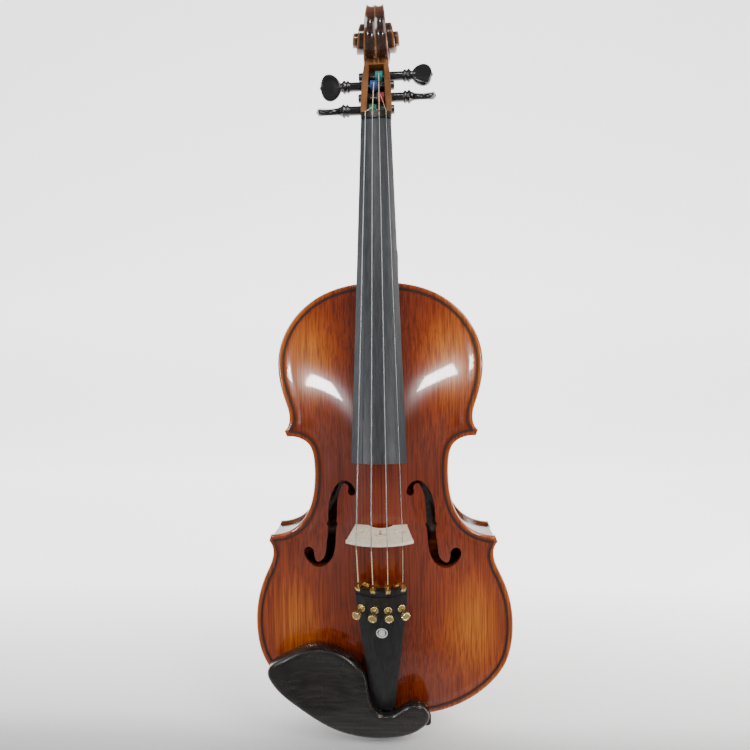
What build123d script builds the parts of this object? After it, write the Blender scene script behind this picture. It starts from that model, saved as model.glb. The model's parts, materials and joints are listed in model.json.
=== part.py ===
from build123d import *
import os
from math import asin, atan2, cos, hypot, pi, radians, sin, sqrt

# Full-size violin, standing on its lower end with the scroll up.
# +Z runs from the end button to the scroll, the strings face -Y, and +X is the treble side.
# The origin is the centre of the end button's flat outer face.
# Places on the body are given as (x, v, h): v is the distance above the body's lower edge, and
# h is the height above the top plate's edge, measured towards the strings.

# ---- body ----
BODY_BOTTOM = 10.0       # the body's lower edge above the end button's face
BODY_LENGTH = 356.0
RIB_HEIGHT = 31.0
EDGE = 4.0               # plate thickness at the edge
PLATE = 3.0              # plate thickness in the arch
OVERHANG = 2.6           # plate edge beyond the ribs
RIB = 1.2
TOP_RISE = 11.5          # arch of the top above its edge
BACK_RISE = 11.0
EDGE_TOP = RIB_HEIGHT / 2 + EDGE
PURFLING_INSET = 4.0
PURFLING_WIDTH = 1.2
PURFLING_DEPTH = 1.5
LINING = 2.0
LINING_HEIGHT = 8.0

# ---- neck ----
NUT_V = 486.0            # where the fingerboard meets the nut
BOARD_END_V = 216.0
BOARD_RADIUS = 42.0
NUT_WIDTH = 24.0
BOARD_END_WIDTH = 42.0
GLUE_H = 6.0             # underside of the fingerboard above the body's edge at its upper end
GLUE_SLOPE = 0.115
CROWN_H = 14.2           # top of the fingerboard at the body's upper end
CROWN_SLOPE = 0.125

# ---- strings ----
BRIDGE_V = 161.0
STRING_NAMES = ("g", "d", "a", "e")
STRING_RADIUS = (0.42, 0.40, 0.34, 0.20)
NUT_X = (-8.25, -2.75, 2.75, 8.25)
BRIDGE_X = (-17.0, -5.8, 5.8, 17.0)
BRIDGE_H = (41.9, 44.8, 44.7, 41.35)     # centre line of each string over the bridge
NUT_STRING_H = -0.6

# ---- pegs: one per string, with the side that its head is on ----
PEG_V = (498.7, 522.0, 531.0, 510.2)
PEG_SIDE = (-1, -1, 1, 1)
PEG_HEAD_END = (49.7, 47.7, 47.2, 49.2)
PEG_HEAD_TURN = (60, -30, 15, 60)        # how far each thumb piece is turned about its shaft
PEG_RADIUS = 3.5
PEG_FIT = 0.05

# ---- tailpiece and fine tuners ----
TAIL_TOP = (118.5, 30.0)                 # v and h of the tailpiece's upper end
TAIL_LOW = (11.5, 8.0)
TAIL_RADIUS = 42.0
TAIL_SHELL = 4.0
TUNER_X = (-15.0, -5.0, 5.0, 15.0)
TUNER_BACK = 15.5                        # screw axis below the tailpiece's upper end
TUNER_PIVOT = (12.0, -8.0)               # along the tailpiece from the screw, and below the surface

# ---- chinrest ----
CLAMP_X = 20.0
BARREL_V = -5.2


def front(h):
    """The plane at height h over the top plate's edge; its local x and y are (x, v)."""
    return Plane(origin=(0, -(EDGE_TOP + h), BODY_BOTTOM), x_dir=(1, 0, 0), z_dir=(0, -1, 0))


def back(h):
    """The same over the back plate's edge; its local x is -x."""
    return Plane(origin=(0, EDGE_TOP + h, BODY_BOTTOM), x_dir=(-1, 0, 0), z_dir=(0, 1, 0))


def across(v):
    """The plane square to the body's length at v; its local x and y are (x, y)."""
    return Plane.XY.offset(BODY_BOTTOM + v)


def at(x, v, h):
    """A point on the body as a vector in the part's frame."""
    return Vector(x, -(EDGE_TOP + h), BODY_BOTTOM + v)


def side(v, h):
    """A point in the side view, as (y, z) on SIDE."""
    return (-(EDGE_TOP + h), BODY_BOTTOM + v)


SIDE = Plane(origin=(0, 0, 0), x_dir=(0, 1, 0), z_dir=(1, 0, 0))


def glue_h(v):
    """Height of the plane between neck and fingerboard."""
    return GLUE_H - GLUE_SLOPE * (v - BODY_LENGTH)


def crown_h(v):
    """Height of the fingerboard's top on the centre line."""
    return CROWN_H - CROWN_SLOPE * (v - BODY_LENGTH)


def board_width(v):
    """Width of the fingerboard at v."""
    return NUT_WIDTH + (BOARD_END_WIDTH - NUT_WIDTH) * (NUT_V - v) / (NUT_V - BOARD_END_V)


def save(name, part):
    """Label one finished piece and write it."""
    part.label = name
    export_step(part, f"parts/{name}.step")


def rod(start, end, radius):
    """A round bar from one point to another, made apart from the block that calls it."""
    line = Vector(*end) - Vector(*start)
    foot = (Align.CENTER, Align.CENTER, Align.MIN)
    return Plane(origin=start, z_dir=line) * Cylinder(radius, line.length, align=foot, mode=Mode.PRIVATE)


# ---------------------------------------------------------------- outline
# Half of the outline in three bouts, each a smooth curve that runs clockwise, with a blunt corner
# between one bout and the next.
with BuildLine() as upper_bout:
    Spline(
        (0, 356), (18, 354.8), (46.5, 346.3), (70, 326.8), (82, 300), (82.4, 282), (78.2, 263), (74.4, 247.5),
        (75.4, 241), (78.6, 236.6),
    )
with BuildLine() as centre_bout:
    Spline(
        (76.6, 231.6), (66, 230.2), (58.8, 225.2), (54.8, 212), (54.6, 196), (56.6, 181), (62, 167), (71, 157),
        (81, 152.2), (91.6, 150.6),
    )
with BuildLine() as lower_bout:
    Spline(
        (93.6, 145.4), (90.6, 140), (90.8, 131.5), (96.6, 117.5), (103.6, 96), (105, 70), (99.8, 47.5), (84, 26.5),
        (51.5, 7.2), (24, 1.3), (0, 0),
    )
BOUTS = [bout.edges()[0] for bout in (upper_bout, centre_bout, lower_bout)]
BOUT_STEPS = 20


def drawn_in(bout, amount):
    """Points along a bout, moved by an amount towards the inside of the body."""
    points = []
    for step in range(BOUT_STEPS + 1):
        share = step / BOUT_STEPS
        tangent = bout.tangent_at(share)
        points.append(bout.position_at(share) + Vector(tangent.Y, -tangent.X) * amount)
    return points


def crossing(a, b, c, d):
    """Where the stretch from a to b crosses the stretch from c to d, or None."""
    first = b - a
    second = d - c
    bottom = first.X * second.Y - first.Y * second.X
    if abs(bottom) < 1e-9:
        return None
    gap = c - a
    along_first = (gap.X * second.Y - gap.Y * second.X) / bottom
    along_second = (gap.X * first.Y - gap.Y * first.X) / bottom
    if 0 <= along_first <= 1 and 0 <= along_second <= 1:
        return a + first * along_first
    return None


def trimmed(before, after):
    """Two neighbouring bouts, cut off where they cross each other in the corner."""
    for i in range(len(before) - 2, len(before) - 8, -1):
        for j in range(6):
            corner = crossing(before[i], before[i + 1], after[j], after[j + 1])
            if corner:
                return before[: i + 1] + [corner], [corner] + after[j + 1:]
    return before, after


def inset(amount):
    """The face inside the body's outline, drawn in by an amount, in short straight chords."""
    upper, centre, lower = (drawn_in(bout, amount) for bout in BOUTS)
    upper, centre = trimmed(upper, centre)
    centre, lower = trimmed(centre, lower)
    half = upper + centre[1:] + lower[1:]
    other = [Vector(-point.X, point.Y) for point in reversed(half[1:-1])]
    with BuildSketch() as face:
        with BuildLine():
            Polyline(*half, *other, close=True)
        make_face()
    return face.sketch


with BuildSketch() as outline:
    with BuildLine():
        for bout in BOUTS:
            add(bout)
        Line(BOUTS[0] @ 1, BOUTS[1] @ 0)
        Line(BOUTS[1] @ 1, BOUTS[2] @ 0)
        mirror(about=Plane.YZ)
    make_face()


def arch_half_width(v, margin=6.0):
    """Half width of the arched area: rounded ends, joined by smooth waves at the waist."""
    low, waist, high = 105.0 - margin, 54.0 - margin, 83.0 - margin
    low_v, waist_v, high_v = 80.0, 203.0, 288.0
    if v < low_v:
        half = low * sqrt(max(0.0, 1 - ((low_v - v) / (low_v - 8)) ** 2))
    elif v < waist_v:
        half = waist + (low - waist) * (1 + cos(pi * (v - low_v) / (waist_v - low_v))) / 2
    elif v < high_v:
        half = waist + (high - waist) * (1 - cos(pi * (v - waist_v) / (high_v - waist_v))) / 2
    else:
        half = high * sqrt(max(0.0, 1 - ((v - high_v) / (BODY_LENGTH - 8 - high_v)) ** 2))
    return max(40.0, half)


def arch(share, v, rise):
    """Height of the arch over the edge, at a share of its half width from the centre line."""
    along = min(1.0, abs(v - BODY_LENGTH / 2) / (BODY_LENGTH / 2 - 8))
    return rise * (1 - share**2) ** 2 * (1 - along**4) ** 2


ARCH_STATIONS = (-6, 6, 20, 42, 70, 110, 150, 178, 203, 235, 270, 300, 325, 340, 350, 360, 375)
ARCH_SHARES = [step / 5 for step in range(-5, 6)]


def arch_solid(facing, rise, drop):
    """Everything behind an arched surface; facing is -1 for the top and 1 for the back."""
    edge = EDGE_TOP - drop
    with BuildPart() as solid:
        for v in ARCH_STATIONS:
            half = arch_half_width(v)
            crest = [(half * share, facing * (edge + arch(share, v, rise))) for share in ARCH_SHARES]
            with BuildSketch(across(v)):
                with BuildLine():
                    Spline(*crest, tangents=[(1, 0), (1, 0)])
                    Polyline(
                        crest[-1], (112, facing * edge), (112, 0), (-112, 0), (-112, facing * edge), crest[0]
                    )
                make_face()
        loft()
    return solid.part


top_outer = arch_solid(-1, TOP_RISE, 0)
top_inner = arch_solid(-1, TOP_RISE, PLATE)
back_outer = arch_solid(1, BACK_RISE, 0)
back_inner = arch_solid(1, BACK_RISE, PLATE)
hollow_line = inset(OVERHANG + RIB + LINING + 1)
purfling_outer = inset(PURFLING_INSET)
purfling_inner = inset(PURFLING_INSET + PURFLING_WIDTH)
rib_outer = inset(OVERHANG)
rib_inner = inset(OVERHANG + RIB)
lining_inner = inset(OVERHANG + RIB + LINING)

# ---------------------------------------------------------------- neck, pegbox and scroll
HEEL_TOP_V = BODY_LENGTH - 6     # the heel is let six millimetres into the body
BUTTON_RADIUS = 10.5

with BuildPart() as shaft:
    for v, depth in ((368, 14.0), (430, 12.4), (NUT_V + 5, 11.6)):
        with BuildSketch(across(v)):
            with BuildLine():
                y = -(EDGE_TOP + glue_h(v))
                half = board_width(v) / 2 - 0.2
                EllipticalCenterArc((0, y), half, depth, start_angle=0, arc_size=180)
                Line((-half, y), (half, y))
            make_face()
    loft()

with BuildPart() as heel:
    heel_steps = ((15.5, 10.5, 368.5), (4, 11.8, 369), (-6, 14.0, 373), (-13, 15.6, 386), (-24.4, 16.2, 392))
    for y, half, reach in heel_steps:
        with BuildSketch(Plane(origin=(0, y, BODY_BOTTOM), x_dir=(1, 0, 0), z_dir=(0, -1, 0))):
            with BuildLine():
                base = reach - half
                Polyline((-half, base), (-half, HEEL_TOP_V), (half, HEEL_TOP_V), (half, base))
                EllipticalCenterArc((0, base), half, half, start_angle=0, arc_size=180)
            make_face()
    loft()
    with BuildSketch(SIDE):
        with BuildLine():
            Polyline(
                side(HEEL_TOP_V - 2, glue_h(HEEL_TOP_V - 2)), side(400, glue_h(400)), side(400, -60),
                side(HEEL_TOP_V - 2, -60), close=True,
            )
        make_face()
    extrude(amount=30, both=True, mode=Mode.INTERSECT)

# The pegbox and scroll seen from the side: a box that leans back, then one full turn of the volute.
EYE = (562.0, -29.0)
with BuildPart() as head:
    with BuildSketch(SIDE):
        with BuildLine():
            Line(side(489, -9.2), side(491.5, -9.2))
            Line(side(491.5, -9.2), side(534, -21.5))
            Spline(
                side(534, -21.5), side(541.5, -19.5), side(549, -10.8), side(562, -7.8), side(577, -12),
                side(587, -22), side(589, -31), side(584, -43), side(571, -50), side(556, -49.5),
                side(538, -44.5), side(517, -39.5), side(500, -33.5), side(489, -21.5),
            )
            Line(side(489, -21.5), side(489, -9.2))
        make_face()
    extrude(amount=20, both=True)
    with BuildSketch(front(0)):
        with BuildLine():
            right_side = [(12, 487), (12.9, 497), (11.5, 531), (9.5, 545), (6.4, 572), (6.0, 592)]
            left_side = [(-x, v) for x, v in reversed(right_side)]
            Polyline(*right_side, *left_side, close=True)
        make_face()
    extrude(amount=60, both=True, mode=Mode.INTERSECT)
    # the turns of the volute step outwards to the eye
    for radius, half, shift in ((19.5, 10.5, (0, 1.0)), (13.5, 14.5, (-0.5, 2.5)), (8.5, 17.5, (-0.5, 1.5))):
        centre = side(EYE[0] + shift[0], EYE[1] + shift[1])
        with BuildSketch(Plane(origin=(-half, 0, 0), x_dir=(0, 1, 0), z_dir=(1, 0, 0))):
            with Locations(centre):
                Circle(radius)
        extrude(amount=2 * half)
    with BuildSketch(Plane(origin=(-20, 0, 0), x_dir=(0, 1, 0), z_dir=(1, 0, 0))):
        with Locations(side(*EYE)):
            Circle(4.5)
    extrude(amount=40)

# The hollow of the pegbox, open to the front
with BuildPart() as pegbox_hollow:
    for v, half, depth in ((493.5, 7.9, 11.5), (540, 6.0, 13.0)):
        with BuildSketch(across(v)):
            with Locations((0, -(EDGE_TOP - 9.2 - 0.3 * (v - 493.5)))):
                Rectangle(2 * half, 2 * depth)
    loft()


def peg_axis(index):
    """The point where a peg's axis crosses the centre plane."""
    v = PEG_V[index]
    return at(0, v, -16 - 0.31 * (v - PEG_V[0]))


with BuildPart() as neck:
    add(shaft.part)
    add(heel.part)
    add(head.part)
    add(pegbox_hollow.part, mode=Mode.SUBTRACT)
    for index in range(4):
        centre = peg_axis(index)
        add(rod(centre - Vector(25, 0, 0), centre + Vector(25, 0, 0), PEG_RADIUS + PEG_FIT), mode=Mode.SUBTRACT)
save("neck_and_scroll", neck.part)

# ---------------------------------------------------------------- tail cord
CORD_RADIUS = 1.0
CORD_X = 5.6
CORD_AXIS_H = -EDGE_TOP
route = [
    at(-CORD_X, 24, 4.0), at(-CORD_X, 2.0, 4.6), at(-CORD_X, -2.0, 2.0), at(-CORD_X, 0.9, CORD_AXIS_H + 2),
    at(-CORD_X, 0.9, CORD_AXIS_H - CORD_X), at(CORD_X, 0.9, CORD_AXIS_H - CORD_X),
    at(CORD_X, 0.9, CORD_AXIS_H + 2), at(CORD_X, -2.0, 2.0), at(CORD_X, 2.0, 4.6), at(CORD_X, 24, 4.0),
]
with BuildPart() as tail_cord:
    with BuildLine() as cord_path:
        FilletPolyline(*route, radius=[2, 1.5, 8, 5.5, 5.5, 8, 1.5, 2])
    with BuildSketch(Plane(origin=route[0], z_dir=route[1] - route[0])):
        Circle(CORD_RADIUS)
    sweep(path=cord_path.line)
save("tail_cord", tail_cord.part)

# ---------------------------------------------------------------- plates
with BuildPart() as top_plate:
    with BuildSketch(front(-EDGE)):
        add(outline.sketch)
    extrude(amount=EDGE + TOP_RISE + 2)
    add(top_outer, mode=Mode.INTERSECT)

with BuildPart() as top_hollow:
    with BuildSketch(front(-EDGE)):
        add(hollow_line)
    extrude(amount=EDGE + TOP_RISE)
    add(top_inner, mode=Mode.INTERSECT)

with BuildPart() as groove_front:
    with BuildSketch(front(-PURFLING_DEPTH)):
        add(purfling_outer)
        add(purfling_inner, mode=Mode.SUBTRACT)
    extrude(amount=PURFLING_DEPTH + 3)

# The f-hole: two round eyes joined by a stem that narrows as it turns over each of them
with BuildSketch(front(-EDGE)) as f_holes:
    with BuildLine():
        Spline(
            (20.4, 189.6), (24.2, 196.0), (29.6, 197.2), (37.8, 190.4), (42.6, 177), (43.4, 161),
            (44.4, 143), (48.4, 132.8), (52.6, 130.6), (55.2, 136),
        )
        Line((55.2, 136), (63.8, 138.4))
        Spline((63.8, 138.4), (61.2, 131.6), (52.4, 126.4), (43.6, 130), (37.8, 142), (36.2, 159.6))
        Polyline((36.2, 159.6), (35.2, 161.6), (36.2, 163.6))
        Spline((36.2, 163.6), (35.4, 179), (32.6, 190.6), (28.8, 195.0), (25.8, 192.4), (26.2, 189.0))
        Line((26.2, 189.0), (20.4, 189.6))
    make_face()
    with Locations((23.4, 188.4)):
        Circle(2.9)
    with Locations((59.6, 137.4)):
        Circle(4.3)
    mirror(about=Plane.YZ)

SADDLE_HALF = 17.5
with BuildPart() as saddle:
    with BuildSketch(SIDE):
        with BuildLine():
            Polyline(
                side(0, 0), side(0, -EDGE), side(7, -EDGE), side(7, 1.0), side(3.2, 3.4), side(0.8, 3.2),
                side(0, 2), close=True,
            )
        make_face()
    extrude(amount=SADDLE_HALF, both=True)
    fillet(saddle.edges().filter_by(Axis.X).sort_by(Axis.Y)[:2], radius=0.5)
    saddle_whole = saddle.part
    add(tail_cord.part, mode=Mode.SUBTRACT)
save("saddle", saddle.part)

with BuildPart() as top:
    add(top_plate.part)
    add(top_hollow.part, mode=Mode.SUBTRACT)
    add(groove_front.part, mode=Mode.SUBTRACT)
    extrude(f_holes.sketch, amount=EDGE + TOP_RISE + 2, mode=Mode.SUBTRACT)
    add(neck.part, mode=Mode.SUBTRACT)
    add(saddle_whole, mode=Mode.SUBTRACT)
save("top_plate", top.part)

with BuildPart() as purfling_front:
    with BuildSketch(front(-PURFLING_DEPTH)):
        add(purfling_outer)
        add(purfling_inner, mode=Mode.SUBTRACT)
    extrude(amount=PURFLING_DEPTH)
    add(neck.part, mode=Mode.SUBTRACT)
    with BuildSketch(front(-EDGE)):
        Rectangle(2 * SADDLE_HALF, 16)
    extrude(amount=2 * EDGE, mode=Mode.SUBTRACT)

with BuildPart() as back_hollow:
    with BuildSketch(back(-EDGE)):
        add(hollow_line)
    extrude(amount=EDGE + BACK_RISE)
    add(back_inner, mode=Mode.INTERSECT)
with BuildPart() as back_plate:
    with BuildSketch(back(-EDGE)):
        add(outline.sketch)
        with Locations((0, 368.5 - BUTTON_RADIUS)):
            Circle(BUTTON_RADIUS)
        with Locations((0, 352)):
            Rectangle(2 * BUTTON_RADIUS, 12)
    extrude(amount=EDGE + BACK_RISE + 2)
    add(back_outer, mode=Mode.INTERSECT)
    add(back_hollow.part, mode=Mode.SUBTRACT)
    with BuildSketch(back(-PURFLING_DEPTH)):
        add(purfling_outer)
        add(purfling_inner, mode=Mode.SUBTRACT)
    extrude(amount=PURFLING_DEPTH + 3, mode=Mode.SUBTRACT)
save("back_plate", back_plate.part)
with BuildPart() as purfling_back:
    with BuildSketch(back(-PURFLING_DEPTH)):
        add(purfling_outer)
        add(purfling_inner, mode=Mode.SUBTRACT)
    extrude(amount=PURFLING_DEPTH)
with BuildPart() as purfling:
    add(purfling_front.part)
    add(purfling_back.part)
save("purfling", purfling.part)

# ---------------------------------------------------------------- ribs, blocks and linings
LOWER_MITRE_V = 147.9
UPPER_MITRE_V = 234.4
FAR = 130.0

with BuildPart() as end_button:
    with BuildSketch(Plane.XZ):
        with BuildLine():
            Polyline(
                (0, 0), (7, 0), (7, 5.9), (5.4, 8.2), (4.5, 9.2), (4.5, 12.3), (3.8, 12.3), (3.2, 30), (0, 30),
                close=True,
            )
        make_face()
    revolve(axis=Axis.Z)
save("end_button", end_button.part)

# each rib strip is the part of the ring that falls in its own window: (name, x from, x to, v from, v to)
RIB_WINDOWS = (
    ("rib_lower", -FAR, FAR, -5, LOWER_MITRE_V),
    ("rib_centre_bass", -FAR, 0, LOWER_MITRE_V, UPPER_MITRE_V),
    ("rib_centre_treble", 0, FAR, LOWER_MITRE_V, UPPER_MITRE_V),
    ("rib_upper_bass", -FAR, 0, UPPER_MITRE_V, BODY_LENGTH + 5),
    ("rib_upper_treble", 0, FAR, UPPER_MITRE_V, BODY_LENGTH + 5),
)
with BuildPart() as rib_ring:
    with BuildSketch(front(-EDGE)):
        add(rib_outer)
        add(rib_inner, mode=Mode.SUBTRACT)
    extrude(amount=-RIB_HEIGHT)
    add(neck.part, mode=Mode.SUBTRACT)
    add(end_button.part, mode=Mode.SUBTRACT)
for name, x_from, x_to, v_from, v_to in RIB_WINDOWS:
    with BuildPart() as rib:
        add(rib_ring.part)
        with Locations(at((x_from + x_to) / 2, (v_from + v_to) / 2, -EDGE_TOP)):
            Box(x_to - x_from, 2 * RIB_HEIGHT, v_to - v_from, mode=Mode.INTERSECT)
    save(name, rib.part)

with BuildPart() as rib_fill:
    with BuildSketch(front(-EDGE)):
        add(rib_inner)
    extrude(amount=-RIB_HEIGHT)

BLOCK_HALF = 25.0
with BuildPart() as upper_block:
    add(rib_fill.part)
    with Locations(at(0, BODY_LENGTH - 11, -EDGE_TOP)):
        Box(2 * BLOCK_HALF, 2 * RIB_HEIGHT, 22, mode=Mode.INTERSECT)
    add(neck.part, mode=Mode.SUBTRACT)
save("upper_block", upper_block.part)

with BuildPart() as end_block:
    add(rib_fill.part)
    with Locations(at(0, 10, -EDGE_TOP)):
        Box(2 * BLOCK_HALF, 2 * RIB_HEIGHT, 20, mode=Mode.INTERSECT)
    add(end_button.part, mode=Mode.SUBTRACT)
save("end_block", end_block.part)

with BuildPart() as corner_posts:
    with BuildSketch(front(0)):
        with Locations((-86, 148), (86, 148), (-73, 234), (73, 234)):
            Circle(15)
    extrude(amount=-2 * RIB_HEIGHT)
with BuildPart() as corner_blocks:
    add(rib_fill.part)
    add(corner_posts.part, mode=Mode.INTERSECT)
save("corner_blocks", corner_blocks.part)

with BuildPart() as linings:
    for h in (-EDGE, -EDGE - RIB_HEIGHT + LINING_HEIGHT):
        with BuildSketch(front(h)):
            add(rib_inner)
            add(lining_inner, mode=Mode.SUBTRACT)
        extrude(amount=-LINING_HEIGHT)
    add(upper_block.part, mode=Mode.SUBTRACT)
    add(end_block.part, mode=Mode.SUBTRACT)
    add(corner_blocks.part, mode=Mode.SUBTRACT)
    add(neck.part, mode=Mode.SUBTRACT)
save("linings", linings.part)

# ---------------------------------------------------------------- bass bar and sound post
BASS_BAR_X = -16.5
with BuildPart() as bass_bar:
    with BuildSketch(SIDE):
        with BuildLine():
            Line(side(43, 12), side(313, 12))
            Line(side(313, 12), side(313, 3))
            ThreePointArc(side(313, 3), side(178, -3.5), side(43, 3))
            Line(side(43, 3), side(43, 12))
        make_face()
    extrude(amount=2.75, both=True)
    add(Pos(-BASS_BAR_X, 0, 0) * top_inner, mode=Mode.INTERSECT)
save("bass_bar", Pos(BASS_BAR_X, 0, 0) * bass_bar.part)

POST = (19.0, 155.0)
POST_RADIUS = 3.1
with BuildPart() as sound_post:
    # a front half up to the top's inner face and a back half up to the back's
    for facing, inner in ((-1, top_inner), (1, back_inner)):
        with BuildPart() as post_half:
            middle = at(*POST, -EDGE_TOP)
            add(rod(middle, middle + Vector(0, facing * 40, 0), POST_RADIUS))
            add(inner, mode=Mode.INTERSECT)
        add(post_half.part)
save("sound_post", sound_post.part)

# ---------------------------------------------------------------- fingerboard and nut
BOARD_SIDE = 5.0
with BuildPart() as fingerboard:
    for v in (BOARD_END_V, NUT_V):
        with BuildSketch(across(v)):
            with BuildLine():
                half = board_width(v) / 2
                drop = BOARD_RADIUS - sqrt(BOARD_RADIUS**2 - half**2)
                top_y = -(EDGE_TOP + crown_h(v))
                low_y = -(EDGE_TOP + glue_h(v))
                ThreePointArc((-half, top_y + drop), (0, top_y), (half, top_y + drop))
                Polyline((half, top_y + drop), (half, low_y), (-half, low_y), (-half, top_y + drop))
            make_face()
    loft()
# the free end over the body is hollowed underneath
with BuildPart() as scoop:
    for v, depth in ((BOARD_END_V - 1, 4.5), (338, 2.0)):
        with BuildSketch(across(v)):
            with BuildLine():
                y = -(EDGE_TOP + glue_h(v)) + 0.01
                half = board_width(v) / 2 - 4
                EllipticalCenterArc((0, y), half, depth, start_angle=180, arc_size=180)
                Line((-half, y), (half, y))
            make_face()
    loft()
with BuildPart() as board:
    add(fingerboard.part)
    add(scoop.part, mode=Mode.SUBTRACT)
save("fingerboard", board.part)

NUT_LENGTH = 5.0
with BuildPart() as nut:
    with BuildSketch(across(NUT_V)):
        with BuildLine():
            half = NUT_WIDTH / 2
            crown = -(EDGE_TOP + crown_h(NUT_V) + 1.2)
            low_y = -(EDGE_TOP + glue_h(NUT_V))
            ThreePointArc((-half, crown + 1.8), (0, crown), (half, crown + 1.8))
            Polyline((half, crown + 1.8), (half, low_y), (-half, low_y), (-half, crown + 1.8))
        make_face()
    extrude(amount=NUT_LENGTH)
    with BuildSketch(SIDE):
        with BuildLine():
            Polyline(
                side(NUT_V - 1, glue_h(NUT_V) + 0.6), side(NUT_V + 6, glue_h(NUT_V) - 0.1),
                side(NUT_V + 6, 10), side(NUT_V - 1, 10), close=True,
            )
        make_face()
    extrude(amount=20, both=True, mode=Mode.INTERSECT)
    add(neck.part, mode=Mode.SUBTRACT)

# ---------------------------------------------------------------- bridge
BRIDGE_FOOT = 4.4
BRIDGE_CROWN = 1.6
FOOT_OUT = 20.7
FOOT_IN = 9.5
CROWN_HALF = 25.0
with BuildPart() as bridge:
    with BuildSketch(across(BRIDGE_V - BRIDGE_FOOT / 2)):
        with BuildLine():
            left = (-CROWN_HALF, -(EDGE_TOP + 38.0))
            right = (CROWN_HALF, -(EDGE_TOP + 37.2))
            ThreePointArc(left, (0, -(EDGE_TOP + 45.0)), right)
            foot = -(EDGE_TOP + 4)
            knee = -(EDGE_TOP + 12.5)
            Polyline(
                right, (CROWN_HALF - 0.8, right[1] + 2.5), (FOOT_OUT + 0.2, knee - 2), (FOOT_OUT, knee),
                (FOOT_OUT, foot), (FOOT_IN, foot), (FOOT_IN - 0.4, knee),
            )
            ThreePointArc((FOOT_IN - 0.4, knee), (0, knee - 4.6), (0.4 - FOOT_IN, knee))
            Polyline(
                (0.4 - FOOT_IN, knee), (-FOOT_IN, foot), (-FOOT_OUT, foot), (-FOOT_OUT, knee),
                (-FOOT_OUT - 0.2, knee - 2), (0.8 - CROWN_HALF, left[1] + 2.5), left,
            )
        make_face()
        # the heart and the two kidneys
        with Locations((0, -(EDGE_TOP + 26.5))):
            Circle(2.3, mode=Mode.SUBTRACT)
        with Locations((-3.4, -(EDGE_TOP + 28.6)), (3.4, -(EDGE_TOP + 28.6))):
            Circle(1.9, mode=Mode.SUBTRACT)
        with Locations((0, -(EDGE_TOP + 22.8))):
            Rectangle(1.8, 7, mode=Mode.SUBTRACT)
        with Locations((-15.6, -(EDGE_TOP + 23)), (15.6, -(EDGE_TOP + 23))):
            Ellipse(3.4, 2.4, mode=Mode.SUBTRACT)
    extrude(amount=BRIDGE_FOOT)
    # the fingerboard side slopes, so the crown is thinner than the feet
    with BuildSketch(SIDE):
        with BuildLine():
            v_low = BRIDGE_V - BRIDGE_FOOT / 2
            Polyline(
                side(v_low, 0), side(v_low + BRIDGE_FOOT, 0), side(v_low + BRIDGE_FOOT, 14),
                side(v_low + BRIDGE_CROWN, 45.2), side(v_low, 45.2), close=True,
            )
        make_face()
    extrude(amount=30, both=True, mode=Mode.INTERSECT)
    add(top_outer, mode=Mode.SUBTRACT)

# ---------------------------------------------------------------- tailpiece
TAIL_SLOPE = atan2(TAIL_TOP[1] - TAIL_LOW[1], TAIL_TOP[0] - TAIL_LOW[0])
TAIL_LENGTH = hypot(TAIL_TOP[1] - TAIL_LOW[1], TAIL_TOP[0] - TAIL_LOW[0])
# local x is across, local y runs up along the tailpiece and local z stands out of its top surface
TAIL = Plane(origin=at(0, *TAIL_TOP), x_dir=(1, 0, 0), z_dir=(0, -cos(TAIL_SLOPE), -sin(TAIL_SLOPE)))


def tuner_plane(index, along=0.0, above=0.0):
    """A fine tuner's own plane: origin on the tailpiece's surface at the screw, z along the screw."""
    fan = asin(TUNER_X[index] / TAIL_RADIUS)
    radius = TAIL_RADIUS + above
    origin = Vector(radius * sin(fan), along - TUNER_BACK, radius * cos(fan) - TAIL_RADIUS)
    out = TAIL.from_local_coords(Vector(sin(fan), 0, cos(fan))) - TAIL.origin
    cross = TAIL.from_local_coords(Vector(cos(fan), 0, -sin(fan))) - TAIL.origin
    return Plane(origin=TAIL.from_local_coords(origin), x_dir=cross, z_dir=out)


with BuildPart() as tail_block:
    with BuildSketch(TAIL):
        with BuildLine():
            Spline((0, 0.8), (10, 0.4), (20.0, -2.2))
            Spline((20.0, -2.2), (19.6, -10), (16.5, -40), (12.6, -75), (9.4, -103))
            Spline((9.4, -103), (8.2, -107.5), (0, -TAIL_LENGTH))
            mirror(about=Plane.YZ)
        make_face()
    extrude(amount=-16)
    # rounded top and hollow underside, along the whole length
    above_top = TAIL.from_local_coords(Vector(0, 2, 0))
    with BuildSketch(Plane(origin=above_top, x_dir=(1, 0, 0), z_dir=TAIL.y_dir * -1)):
        with Locations((0, -TAIL_RADIUS)):
            Circle(TAIL_RADIUS)
            Circle(TAIL_RADIUS - TAIL_SHELL, mode=Mode.SUBTRACT)
    extrude(amount=TAIL_LENGTH + 4, mode=Mode.INTERSECT)
    # the fret that the strings cross
    fret_top = TAIL.from_local_coords(Vector(0, -4.6, 0))
    with BuildSketch(Plane(origin=fret_top, x_dir=(1, 0, 0), z_dir=TAIL.y_dir * -1)):
        with Locations((0, -TAIL_RADIUS)):
            Circle(TAIL_RADIUS + 0.7)
            Circle(TAIL_RADIUS - 1, mode=Mode.SUBTRACT)
        with Locations((0, 0)):
            Rectangle(39.2, 14, mode=Mode.INTERSECT)
    extrude(amount=1.4)
    for index in range(4):
        with BuildSketch(tuner_plane(index, above=3)):
            Circle(2.05)
        extrude(amount=-12, mode=Mode.SUBTRACT)
EYE_ALONG = -36.4
with BuildPart() as tailpiece:
    add(tail_block.part)
    with BuildSketch(TAIL):
        with Locations((0, EYE_ALONG)):
            Circle(4.5)
    extrude(amount=-1.2, mode=Mode.SUBTRACT)
    add(tail_cord.part, mode=Mode.SUBTRACT)
save("tailpiece", tailpiece.part)

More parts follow.
